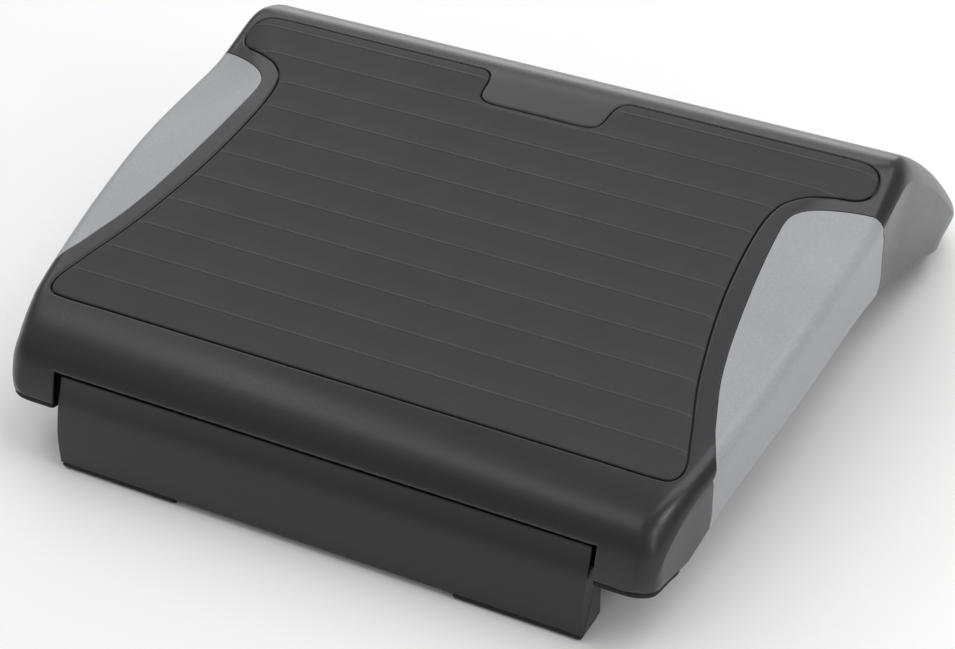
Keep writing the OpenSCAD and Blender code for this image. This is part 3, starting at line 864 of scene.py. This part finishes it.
COVER_FIX = ((112, 78), (186, 82), (262, 90))
BOSS_X = 205.0
_v = np.arange(0, VL * 0.3, 1.0)
_lo = surf(u_parts(_v)[2], _v)
_lo = _lo[(_lo[:, 1] < 42.6) & (_lo[:, 0] > 184)]
foot_path = np.vstack([[(170.2, _lo[0, 1]), (175, _lo[0, 1]), (180, _lo[0, 1])], _lo[:, :2]])
foot_path = spline(foot_path[[0, 1, 2] + list(range(4, len(foot_path), 4))], 1.6)


def side_x(y, z):
    """Half width of the side wall at a place on it."""
    uv = inverse([(y, z)], (1, 2))[0]
    return float(surf(uv[0], uv[1])[0])


def sweep(section, path, ends=None):
    """Sections carried along a path in plan. A section's points are (distance inwards, height over the corner's edge)."""
    out = []
    t = unit(np.gradient(path, axis=0))
    inward = np.stack([-t[:, 1], t[:, 0]], 1)
    for k, (p, w) in enumerate(zip(path, inward)):
        sec = np.array(section, float)
        if ends is not None:
            sec = ends(k, len(path), sec)
        xy = p + sec[:, :1] * w
        out.append(np.stack([xy[:, 0], xy[:, 1], corner_z(xy[:, 1]) + sec[:, 1]], 1))
    return out


def inner_parts(s):
    def span(a, b):
        return (min(s * a, s * b), max(s * a, s * b))

    w = span(CUT_X, CUT_X + 3.2)
    shell_mesh.prism([(3.2, corner_z(3.2)), (40, corner_z(40)), (40, 84), (26, 79.5), (14, 72), (6.5, 60)], 0, *w)
    w = span(CUT_X, 196)
    shell_mesh.prism([(9, 63.2), (40, 63.2), (40, 84), (26, 79.5), (14, 72)], 0, *w, 0.3)
    flange = sweep([(4.4, 0.05), (8.8, 0.05), (8.8, 3), (4.4, 3)], foot_path)
    shell_mesh.loft(flange, s < 0)
    for y, z in COVER_FIX:
        w = span(BOSS_X, side_x(y, z) - 3.2)
        shell_mesh.rod(0, 8, *w, y, z, hole=4.3)


both(inner_parts)
shell_mesh.box(-CUT_X - 2, CUT_X + 2, 36, 38.4, 66, 83.5, 0.3)
shell_mesh.prism([(-211, 438), (211, 438), (211.5, 452), (207, 472), (-207, 472), (-211.5, 452)], 2, 5.2, 8, 0.3)
shell = shell_mesh.make("platform_shell_body", "platform", "platform_shell")
print("shell", len(shell_mesh.v), len(shell_mesh.f))


def patch(build, loop, grid_pts, top_fn, bottom_h, edge_r, corner_keep=None):
    """A closed patch of skin inside an anticlockwise loop, with a rounded edge and a given thickness."""
    near = Near([(loop, True)])
    rings = np.vstack([offset(loop, k * edge_r, True) for k in (0.14, 0.5, 1.0, 1.9)])
    g = grid_pts[in_poly(grid_pts, loop)]
    g = g[near(g) > 2.0 * edge_r + 0.3]
    rings = rings[in_poly(rings, loop)]
    g = thin(np.vstack([rings, g]), 0.1)
    n = len(loop)
    p2, tr, im_ = triangulate(np.vstack([loop, g]), chain(np.arange(n), True))
    tr = tr[in_poly(p2[tr].mean(1), loop)]
    d = near(p2)
    top = lift(p2, top_fn(p2, d) + rounding(d, edge_r))
    base = build.add(top, tr)
    # underside, coarse
    cg = skin_grid(12.0, 12.0, fillet=3)
    cg = cg[in_poly(cg, loop)]
    cg = cg[near(cg) > 3.0]
    q2, tq, iq = triangulate(np.vstack([loop, thin(cg, 3.0)]), chain(np.arange(n), True))
    tq = tq[in_poly(q2[tq].mean(1), loop)]
    low_v = lift(q2, np.full(len(q2), bottom_h))
    b2 = build.add(low_v, [t[::-1] for t in tq])
    walls = []
    for k in range(n):
        j = (k + 1) % n
        walls.append((base + im_[j], base + im_[k], b2 + iq[k], b2 + iq[j]))
    build.f += [tuple(int(i) for i in w[::-1]) for w in walls]
    build.f[-len(walls) :] = [tuple(int(i) for i in (w[1], w[0], w[3], w[2])) for w in walls]
    build.sm += [True] * len(walls)
    return base


# ---------------------------------------------------------------------------------------------
# Tread mat: scalloped ribs, each with a fine bead along its crest
# ---------------------------------------------------------------------------------------------
PITCH = 23.92
RIDGES = [303.6 - PITCH * i for i in range(11)]


def mat_height(p2, d):
    y = np.interp(p2[:, 1], VS, prof[:, 0])
    k = (303.6 - y) / PITCH
    t = 1 - (k - np.floor(k))  # 0 just behind a ridge, 1 at the next one
    scallop = np.where(t < 0.38, 0.5 + 0.5 * np.cos(np.pi * t / 0.38), 0.5 - 0.5 * np.cos(np.pi * (t - 0.38) / 0.62))
    off = np.minimum(t, 1 - t) * PITCH
    bead = np.clip(1 - (off / 1.0) ** 2, 0, 1) ** 1.2
    strength = np.clip((y - 52.0) / 8.0, 0, 1) * np.clip((312 - y) / 5.0, 0, 1)
    fade = np.clip((d - 1.4) / 3.0, 0, 1)
    return 0.1 + strength * fade * (0.42 * scallop + 0.3 * bead)


rows = []
for r in RIDGES:
    rows += [r + k for k in (-3.4, -2.2, -1.5, -1.05, -0.75, -0.45, -0.2, 0, 0.2, 0.45, 0.75, 1.05, 1.5, 2.2, 3.4)]
    rows += [r + k for k in (5.5, 8, 10.5, 13, 15.5, 18)]
rows += [44, 46, 48.5, 51, 53.5, 56, 58.5, 309.5, 311.5]
rows = sorted(y for y in set(rows) if 42.5 < y < 312.8)
mat_grid = np.array([(u, float(v_at(y))) for y in rows for u in np.arange(-215, 215.1, 7.0)])
mat_build = Build()
patch(mat_build, offset(mat_loop, 0.6, True), mat_grid, mat_height, -2.3, EDGE_R_MAT)
for y in (78, 176, 268):
    for s in (-1, 1):
        x = s * (150 if y < 100 else 128)
        mat_build.rod(2, 3, deck(y) - 11, deck(y) - 2.6, x, y, bevel=0.6)
        mat_build.rod(2, 4.2, deck(y) - 9.4, deck(y) - 7.6, x, y, bevel=0.8)
mat = mat_build.make("tread_mat_body", "platform", "tread_mat")
print("mat", len(mat_build.v), len(mat_build.f))

# ---------------------------------------------------------------------------------------------
# Side covers
# ---------------------------------------------------------------------------------------------
cover_grid = skin_grid(4.0, 2.6, fillet=12)


def cover(s):
    loop = cover_poly_r if s > 0 else cover_poly_l[::-1]
    b = Build()
    inset = offset(loop, 0.15, True)
    inset[:, 0] = np.clip(inset[:, 0], -u_parts(inset[:, 1])[2] + 0.1, u_parts(inset[:, 1])[2] - 0.1)
    patch(b, inset, cover_grid, lambda p2, d: np.zeros(len(p2)), -2.0, EDGE_R_COVER)
    for y, z in COVER_FIX:
        x1 = side_x(y, z) - 1.2
        b.rod(0, 4, min(s * 206.5, s * x1), max(s * 206.5, s * x1), y, z)
    n = "right" if s > 0 else "left"
    return b.make("side_cover_" + n + "_body", "platform", "side_cover_" + n)


covers = [cover(-1), cover(1)]

# ---------------------------------------------------------------------------------------------
# Leg panel, its rubber pads and the platform's feet
# ---------------------------------------------------------------------------------------------
LEG_X = 166.8
face = spline([(7.6, 59.6), (6.6, 56), (4.8, 50.6), (2, 42.8), (-0.2, 33.5), (-1.4, 26.4), (-2, 20.2), (-1.8, 12), (-1.4, 4)], 1.6)
outline = [tuple(p) for p in face] + [(21.7, 4), (21.7, 44), (20, 46), (20, 59.6)]
radii = [1.4] + [0] * (len(face) - 2) + [0.7] + [0.7, 1.2, 1.2, 1.4]
leg_b = Build()
leg_b.prism(rounded(outline, radii), 0, -LEG_X, LEG_X, 1.3)

STOP = (17.2, 45.4)
stop_r = math.hypot(STOP[0] - HINGE[0], STOP[1] - HINGE[1])
stop_a = math.atan2(STOP[1] - HINGE[1], STOP[0] - HINGE[0])
cuts = []
c = Build()
c.box(-158.2, 158.2, 19.4, 30, 7.8, 42.2, 0)
cuts.append(c)
c = Build()
c.prism([(1.9, 10), (18.4, 10), (18.4, 37), (3.2, 37), (1.3, 26), (0.9, 20)], 0, -155, 155, 0)
cuts.append(c)
for s in (-1, 1):
    c = Build()
    lo_, hi_ = sorted((s * 142, s * 151.3))
    c.box(lo_, hi_, 12, 32, 44, 56.8, 0)
    cuts.append(c)
    c = Build()
    lo_, hi_ = sorted((s * 139, s * 180))
    c.rod(0, 3.1, lo_, hi_, HINGE[0], HINGE[1], n=40, bevel=0)
    cuts.append(c)
    c = Build()
    ang = [stop_a - math.radians(k) for k in np.linspace(0, FOLD, 25)]
    ring = [(HINGE[0] + (stop_r + 1.9) * math.cos(k), HINGE[1] + (stop_r + 1.9) * math.sin(k)) for k in ang]
    cap = [stop_a - math.radians(FOLD), stop_a]
    ex, ez = HINGE[0] + stop_r * math.cos(cap[0]), HINGE[1] + stop_r * math.sin(cap[0])
    ring += [(ex + 1.9 * math.cos(cap[0] - math.radians(k)), ez + 1.9 * math.sin(cap[0] - math.radians(k))) for k in range(20, 180, 20)]
    ring += [(HINGE[0] + (stop_r - 1.9) * math.cos(k), HINGE[1] + (stop_r - 1.9) * math.sin(k)) for k in ang[::-1]]
    ex, ez = HINGE[0] + stop_r * math.cos(cap[1]), HINGE[1] + stop_r * math.sin(cap[1])
    ring += [(ex + 1.9 * math.cos(cap[1] + math.pi - math.radians(k)), ez + 1.9 * math.sin(cap[1] + math.pi - math.radians(k))) for k in range(20, 180, 20)]
    lo_, hi_ = sorted((s * (LEG_X - 3.2), s * (LEG_X + 2)))
    c.prism(ring, 0, lo_, hi_, 0)
    cuts.append(c)
leg = leg_b.make("leg_panel_body", "leg", "leg_panel", cutters=cuts, sharp=35)
print("leg", len(leg.data.vertices))


def leg_pad(s):
    b = Build()
    base_ = rounded([(-1.45, 4.02), (-1.2, 1.6), (0.4, 0), (20, 0), (21.5, 1.6), (21.6, 4.02)], [0, 1, 1.2, 1.2, 1, 0], steps=3, least=10)
    secs = []

    def sec(x, inset, groove):
        q = offset(base_, inset, True) if inset else base_.copy()
        q[:, 1] = np.minimum(q[:, 1], 4.02)
        if groove:
            q[:, 1] = np.maximum(q[:, 1], 0.55)
        secs.append(np.stack([np.full(len(q), x), q[:, 0], q[:, 1]], 1))

    x0, x1, r = 89.0, 165.4, 1.2
    for k in (0, 22.5, 45, 67.5, 90):
        sec(x0 + r * (1 - math.cos(math.radians(k))), r * (1 - math.sin(math.radians(k))), False)
    for i in range(6):
        g = 94 + i * 12.4
        if g + 6.4 > x1 - 1.4:
            break
        for dx, gr in ((-0.35, False), (-0.15, False), (0.15, True), (0.35, True), (5.65, True), (5.85, True), (6.15, False), (6.35, False)):
            sec(g + dx, 0, gr)
    for k in (90, 67.5, 45, 22.5, 0):
        sec(x1 - r * (1 - math.cos(math.radians(k))), r * (1 - math.sin(math.radians(k))), False)
    b.loft(secs, s < 0)
    for x in (105, 150):
        b.rod(2, 2.5, 3.6, 8.6, s * x, 10, bevel=0.5)
    n = "right" if s > 0 else "left"
    return b.make("leg_pad_" + n + "_body", "leg", "leg_pad_" + n, sharp=50)


def front_foot(s):
    b = Build()
    sec = rounded([(0.6, -3.5), (9, -3.5), (9, 0.02), (0.7, 0.02)], [1.1, 0.8, 0, 1.0], steps=4)

    def ends(k, n, q):
        if k >= n - 3:
            t = (k - (n - 4)) / 3.0
            q = q.copy()
            q[:, 1] = np.where(q[:, 1] < 0, q[:, 1] * (1 - 0.45 * t * t), q[:, 1])
            q[:, 0] = 4.8 + (q[:, 0] - 4.8) * (1 - 0.12 * t * t)
        if k == 0:
            q = np.stack([4.8 + (q[:, 0] - 4.8) * 0.94, q[:, 1] * 0.9], 1)
        return q

    b.loft(sweep(sec, foot_path, ends), s < 0)
    n = "right" if s > 0 else "left"
    return b.make("front_foot_" + n + "_body", "platform", "front_foot_" + n, sharp=50)


def rear_foot(s):
    b = Build()
    half = math.degrees(math.asin(9.5 / 12.0))
    arc_ = [(449 + 12 * math.sin(math.radians(k)), 12 - 12 * math.cos(math.radians(k))) for k in np.linspace(-half, half, 25)]
    out = rounded(arc_ + [(458.5, 5), (439.5, 5)], 0.4, steps=3, least=30)
    lo_, hi_ = sorted((s * 160, s * 207.6))
    b.prism(out, 0, lo_, hi_, 1.4)
    for x in (172, 196):
        b.rod(2, 2.9, 4.6, 8.4, s * x, 449, bevel=0.2)
        b.loft([np.stack([s * x + s * r_ * np.cos(T24), 449 + r_ * np.sin(T24), np.full(24, z_)], 1)[:: (1 if s > 0 else -1)] for z_, r_ in ((8.1, 3.6), (8.5, 4.0), (11.2, 2.9), (12.0, 2.3))])
    n = "right" if s > 0 else "left"
    return b.make("rear_foot_" + n + "_body", "platform", "rear_foot_" + n, sharp=50)


T24 = np.linspace(0, 2 * math.pi, 24, endpoint=False)
for s in (-1, 1):
    leg_pad(s)
    front_foot(s)
    rear_foot(s)

# ---------------------------------------------------------------------------------------------
# Materials
# ---------------------------------------------------------------------------------------------
MM = 0.001


class Nodes:
    """A material's node tree, with short ways to add the usual nodes. Everything is placed in object space, in metres."""

    def __init__(self, name):
        self.mat = bpy.data.materials.new(name)
        self.mat.use_nodes = True
        self.t = self.mat.node_tree
        self.b = self.t.nodes["Principled BSDF"]
        self.co = self.t.nodes.new("ShaderNodeTexCoord").outputs["Object"]
        self.x = -200

    def link(self, a, b):
        self.t.links.new(a, b)

    def noise(self, size, detail=2.0, rough=0.5, stretch=None):
        """Noise whose features are about size millimetres across."""
        n = self.t.nodes.new("ShaderNodeTexNoise")
        n.inputs["Scale"].default_value = 1.0 / (size * MM)
        n.inputs["Detail"].default_value = detail
        n.inputs["Roughness"].default_value = rough
        src = self.co
        if stretch:
            m = self.t.nodes.new("ShaderNodeMapping")
            m.inputs["Scale"].default_value = stretch
            self.link(src, m.inputs["Vector"])
            src = m.outputs["Vector"]
        self.link(src, n.inputs["Vector"])
        return n.outputs["Fac"]

    def cells(self, size, feature="F1"):
        n = self.t.nodes.new("ShaderNodeTexVoronoi")
        n.feature = feature
        n.inputs["Scale"].default_value = 1.0 / (size * MM)
        self.link(self.co, n.inputs["Vector"])
        return n.outputs["Distance"]

    def math(self, op, a, b=None, clamp=False):
        n = self.t.nodes.new("ShaderNodeMath")
        n.operation = op
        n.use_clamp = clamp
        for k, v in enumerate((a, b)):
            if v is None:
                continue
            if isinstance(v, (int, float)):
                n.inputs[k].default_value = v
            else:
                self.link(v, n.inputs[k])
        return n.outputs[0]

    def span(self, v, a, b, c, d, smooth_=False):
        n = self.t.nodes.new("ShaderNodeMapRange")
        if smooth_:
            n.interpolation_type = "SMOOTHSTEP"
        self.link(v, n.inputs["Value"])
        for k, x in zip(("From Min", "From Max", "To Min", "To Max"), (a, b, c, d)):
            n.inputs[k].default_value = x
        return n.outputs[0]

    def mix(self, fac, a, b, mode="MIX"):
        n = self.t.nodes.new("ShaderNodeMix")
        n.data_type = "RGBA"
        n.blend_type = mode
        if isinstance(fac, (int, float)):
            n.inputs[0].default_value = fac
        else:
            self.link(fac, n.inputs[0])
        for k, v in ((6, a), (7, b)):
            if isinstance(v, tuple):
                n.inputs[k].default_value = (*v, 1.0)
            else:
                self.link(v, n.inputs[k])
        return n.outputs[2]

    def edges(self, lo=0.515, hi=0.56):
        """Where an edge stands proud and gets rubbed."""
        g = self.t.nodes.new("ShaderNodeNewGeometry")
        return self.span(g.outputs["Pointiness"], lo, hi, 0.0, 1.0)

    def split(self):
        n = self.t.nodes.new("ShaderNodeSeparateXYZ")
        self.link(self.co, n.inputs[0])
        return n.outputs

    def bump(self, layers, last=None):
        for height, depth in layers:
            n = self.t.nodes.new("ShaderNodeBump")
            n.inputs["Distance"].default_value = depth * MM
            self.link(height, n.inputs["Height"])
            if last is not None:
                self.link(last, n.inputs["Normal"])
            last = n.outputs["Normal"]
        self.link(last, self.b.inputs["Normal"])
        return last

    def finish(self, color, rough, metallic=0.0, ior=1.5, spec=0.5):
        self.link(color, self.b.inputs["Base Color"])
        self.link(rough, self.b.inputs["Roughness"])
        self.b.inputs["Metallic"].default_value = metallic
        self.b.inputs["IOR"].default_value = ior
        self.b.inputs["Specular IOR Level"].default_value = spec
        return self.mat


def tone(level, tint=(1.0, 1.0, 1.0)):
    """Linear colour of an sRGB level from 0 to 255."""
    c = level / 255.0
    v = c / 12.92 if c <= 0.04045 else ((c + 0.055) / 1.055) ** 2.4
    return tuple(v * k for k in tint)


def moulded(name, level, tint, rough, grain=0.55, depth=0.006, wear=0.5, spec=0.5):
    """Injection moulded plastic with a fine spark grain."""
    n = Nodes(name)
    base_ = n.mix(n.noise(70, 3), tone(level * 0.93, tint), tone(level * 1.07, tint))
    base_ = n.mix(n.math("MULTIPLY", n.span(n.noise(1.6, 4, 0.6), 0.45, 0.75, 0, 1), 0.25), base_, tone(level * 1.25, tint))
    rub = n.math("MULTIPLY", n.edges(), n.span(n.noise(14, 5, 0.65), 0.42, 0.62, 0.15, wear))
    base_ = n.mix(rub, base_, tone(level * 1.5 + 8, tint))
    r = n.math("ADD", n.span(n.noise(38, 4, 0.6), 0.3, 0.7, rough - 0.015, rough + 0.025), n.span(n.noise(grain * 1.4, 2), 0.3, 0.7, -0.03, 0.03))
    r = n.math("SUBTRACT", r, n.math("MULTIPLY", rub, 0.08), True)
    n.bump([(n.noise(grain, 3, 0.6), depth), (n.noise(16, 2), 0.004)])
    return n.finish(base_, r, spec=spec)


def rubber(name, level, rough):
    n = Nodes(name)
    base_ = n.mix(n.noise(22, 4), tone(level * 0.85), tone(level * 1.2, (1.0, 0.98, 0.95)))
    dust = n.span(n.noise(4, 5, 0.7), 0.52, 0.75, 0, 0.35)
    base_ = n.mix(dust, base_, tone(level * 1.9, (1.0, 0.97, 0.92)))
    r = n.span(n.noise(9, 4), 0.3, 0.7, rough - 0.06, rough + 0.06)
    n.bump([(n.noise(0.9, 4, 0.7), 0.02)])
    return n.finish(base_, r, spec=0.4)


def steel(name, level, rough, stretch=(1, 1, 1)):
    n = Nodes(name)
    base_ = n.mix(n.noise(5, 4), tone(level * 0.9, (1.0, 0.99, 0.96)), tone(level, (1.0, 0.99, 0.97)))
    base_ = n.mix(n.span(n.noise(1.3, 5, 0.7), 0.58, 0.8, 0, 0.4), base_, tone(level * 0.62, (1.0, 0.96, 0.88)))
    r = n.span(n.noise(1.0, 4, 0.6, stretch), 0.3, 0.7, rough - 0.08, rough + 0.1)
    n.bump([(n.noise(0.5, 3, 0.6, stretch), 0.004)])
    return n.finish(base_, r, metallic=1.0)


M_SHELL = moulded("shell_plastic", 29, (1.0, 0.985, 1.02), 0.3)
# painted shade: the leg uses the shell's plastic made darker (level 22 against 29), standing in for the shade under the
# nose
M_LEG_SHADED = moulded("leg_plastic", 22, (1.0, 0.985, 1.02), 0.34)
M_COVER = moulded("cover_plastic", 155, (0.97, 0.985, 1.03), 0.42, grain=0.4, depth=0.003, wear=0.25)
M_BRACKET = moulded("bracket_nylon", 38, (1.0, 1.0, 1.0), 0.5)
M_FOOT = rubber("foot_rubber", 13, 0.7)
M_WASHER = rubber("washer_rubber", 30, 0.6)
M_SCREW = steel("zinc_steel", 190, 0.34)
M_PIN = steel("ground_steel", 200, 0.24, (0.15, 1, 1))
M_CLIP = steel("spring_steel", 150, 0.38)

# mat: matt elastomer with a fine leather-like grain; its rib crests get a painted highlight (a lighter colour) and are
# polished a little by shoes (lower roughness)
n = Nodes("mat_elastomer")
ox, oy, oz = n.split()
crest_highlight_and_polish = n.math("MULTIPLY", n.math("ADD", oy, (Y_MID - 303.6) * MM), 1000.0 / PITCH)
crest_highlight_and_polish = n.math("ABSOLUTE", n.math("SUBTRACT", n.math("FRACT", n.math("ADD", crest_highlight_and_polish, 100.5)), 0.5))
crest_highlight_and_polish = n.span(crest_highlight_and_polish, 0.0, 0.045, 1.0, 0.0, True)
crest_highlight_and_polish = n.math("MULTIPLY", crest_highlight_and_polish, n.span(n.noise(25, 4, 0.6), 0.3, 0.7, 0.55, 1.0))
col = n.mix(n.noise(90, 3), tone(28, (1.0, 0.98, 1.03)), tone(32, (1.0, 0.98, 1.03)))
col = n.mix(n.math("MULTIPLY", n.span(n.noise(1.1, 4, 0.6), 0.45, 0.75, 0, 1), 0.3), col, tone(46, (1.0, 0.98, 1.0)))
# painted highlight: the rib crests are lightened towards grey 66
col = n.mix(n.math("MULTIPLY", crest_highlight_and_polish, 0.5), col, tone(66, (1.0, 0.98, 1.0)))
rg = n.math("SUBTRACT", n.span(n.noise(30, 4, 0.6), 0.3, 0.7, 0.54, 0.6), n.math("MULTIPLY", crest_highlight_and_polish, 0.08), True)
n.bump([(n.cells(0.7), 0.012), (n.noise(0.45, 3, 0.6), 0.006), (n.noise(20, 2), 0.006)])
M_MAT = n.finish(col, rg, spec=0.5)


def dress(ob, m):
    if ob.data.materials:
        for k in range(len(ob.data.materials)):
            ob.data.materials[k] = m
    else:
        ob.data.materials.append(m)
    for k in ob.material_slots:
        k.material = m


LOOK = {
    "platform_shell": M_SHELL, "tread_mat": M_MAT, "side_cover": M_COVER, "side_cover_screws": M_SCREW, "leg_panel": M_LEG_SHADED,
    "leg_back_cover": M_LEG_SHADED, "leg_cover_screws": M_SCREW, "leg_pad": M_FOOT, "front_foot": M_FOOT, "rear_foot": M_FOOT,
    "hinge_bracket": M_BRACKET, "bracket_screws": M_SCREW, "hinge_pin": M_PIN, "pin_clip": M_CLIP, "friction_washer": M_WASHER,
    "stop_pin": M_PIN,
}
for ob in bpy.context.scene.objects:
    if ob.type != "MESH":
        continue
    key = ob.name.replace("_body", "").replace("_left", "").replace("_right", "")
    if key not in LOOK:
        raise RuntimeError("no material for " + ob.name)
    dress(ob, LOOK[key])

# broken edges and smooth rounds on the CAD's own small parts
for name, ob in sorted((o.name, o) for o in bpy.context.scene.objects if o.name in frame["nodes"]):
    w = ob.modifiers.new("weld", "WELD")
    w.merge_threshold = 1e-6
    bv = ob.modifiers.new("bevel", "BEVEL")
    bv.width = 0.00018 if "screws" in name or "clip" in name else 0.0003
    bv.segments = 2
    bv.limit_method = "ANGLE"
    bv.angle_limit = math.radians(35)
    bv.harden_normals = False

# ---------------------------------------------------------------------------------------------
# Stage, light and camera
# ---------------------------------------------------------------------------------------------
scene = bpy.context.scene
me = bpy.data.meshes.new("floor")
k = 4.0
me.from_pydata([(-k, -k, -0.0003), (k, -k, -0.0003), (k, k, -0.0003), (-k, k, -0.0003)], [], [(0, 1, 2, 3)])
floor = bpy.data.objects.new("floor", me)
scene.collection.objects.link(floor)
n = Nodes("floor_paper")
n.bump([(n.noise(3, 3), 0.02)])
fx, fy, fz = n.split()
far = n.math("SQRT", n.math("ADD", n.math("MULTIPLY", fx, fx), n.math("MULTIPLY", fy, fy)))
paper = n.mix(n.noise(400, 2), (0.94, 0.94, 0.94), (0.96, 0.96, 0.96))
# painted shade: the paper's colour darkens from near white to mid grey between 0.62 m and 1.9 m from the centre, as if
# less light reached it
me.materials.append(n.finish(n.mix(n.span(far, 0.62, 1.9, 0, 1, True), paper, (0.5, 0.5, 0.5)), n.span(n.noise(60, 2), 0, 1, 0.9, 1.0), spec=0.2))
# the sheet fades out into the background, and is clear from below, so that the underside can be looked at
gm_ = n.t.nodes.new("ShaderNodeNewGeometry")
clear = n.t.nodes.new("ShaderNodeBsdfTransparent")
either = n.t.nodes.new("ShaderNodeMixShader")
out_ = [k for k in n.t.nodes if k.type == "OUTPUT_MATERIAL"][0]
n.link(n.math("ADD", gm_.outputs["Backfacing"], n.span(far, 0.9, 2.4, 0, 1, True), True), either.inputs[0])
n.link(n.b.outputs[0], either.inputs[1])
n.link(clear.outputs[0], either.inputs[2])
n.link(either.outputs[0], out_.inputs["Surface"])

world = bpy.data.worlds.new("studio")
scene.world = world
world.use_nodes = True
wt = world.node_tree
tc = wt.nodes.new("ShaderNodeTexCoord")
sp = wt.nodes.new("ShaderNodeSeparateXYZ")
rp = wt.nodes.new("ShaderNodeValToRGB")
wt.links.new(tc.outputs["Generated"], sp.inputs[0])
wt.links.new(sp.outputs["Z"], rp.inputs[0])
stops = [(0.0, 0.4), (0.3, 0.42), (0.5, 0.46), (0.72, 0.6), (0.84, 0.48), (1.0, 0.54)]
rp.color_ramp.interpolation = "LINEAR"
while len(rp.color_ramp.elements) < len(stops):
    rp.color_ramp.elements.new(0.5)
for e, (pos, val) in zip(rp.color_ramp.elements, stops):
    e.position = pos
    e.color = (val, val, val, 1)
bg = wt.nodes["Background"]
wt.links.new(rp.outputs["Color"], bg.inputs["Color"])
bg.inputs["Strength"].default_value = 1.0


def toward(az, el, dist):
    """A place seen from the object at an azimuth (0 behind it, 90 at its right) and elevation, in degrees."""
    a_, e_ = math.radians(az), math.radians(el)
    return (dist * math.cos(e_) * math.sin(a_), dist * math.cos(e_) * math.cos(a_), dist * math.sin(e_))


def area(name, at, aim, size, radiance, color=(1, 1, 1)):
    l = bpy.data.lights.new(name, "AREA")
    l.shape = "RECTANGLE"
    l.size, l.size_y = size
    l.energy = radiance * size[0] * size[1] * math.pi
    l.color = color
    o = bpy.data.objects.new(name, l)
    o.location = at
    o.rotation_euler = (Vector(aim) - Vector(at)).to_track_quat("-Z", "Y").to_euler()
    o.visible_camera = False
    scene.collection.objects.link(o)
    return o


area("key", toward(58, 68, 1.8), (0, 0, 0.05), (1.4, 1.4), 1.9)
area("left_soft", toward(-80, 44, 1.9), (0, 0, 0.05), (1.0, 1.0), 0.3)
area("corner_high", toward(109, 34, 1.6), (0.15, -0.2, 0.07), (0.3, 0.28), 9.0)
area("corner_low", toward(118, 17, 1.6), (0.15, -0.2, 0.07), (0.26, 0.46), 2.8)
area("nose_strip", (-0.42, -0.45, 1.2), (-0.15, -0.22, 0.08), (1.3, 0.26), 2.0)
area("back_high", toward(-35, 43, 1.9), (0, 0, 0.1), (1.9, 0.6), 1.5)
area("back_low", toward(-20, 9, 2.4), (0, 0, 0.05), (1.8, 0.6), 2.3)
area("under_fill", (0, 0, -0.0002), (0, 0, 1), (0.42, 0.46), 0.8).visible_glossy = False

cam = bpy.data.cameras.new("camera")
cam.sensor_width = 36
cam.lens = 36 * 2450 / 955
cam.clip_start = 0.01
camera = bpy.data.objects.new("camera", cam)
scene.collection.objects.link(camera)
camera.location = (0.5559, -0.8909 - Y_MID * MM, 0.8810)
camera.rotation_euler = (math.radians(55.15), 0, math.radians(26.91))
scene.camera = camera
scene.view_settings.view_transform = "Standard"
scene.view_settings.look = "None"
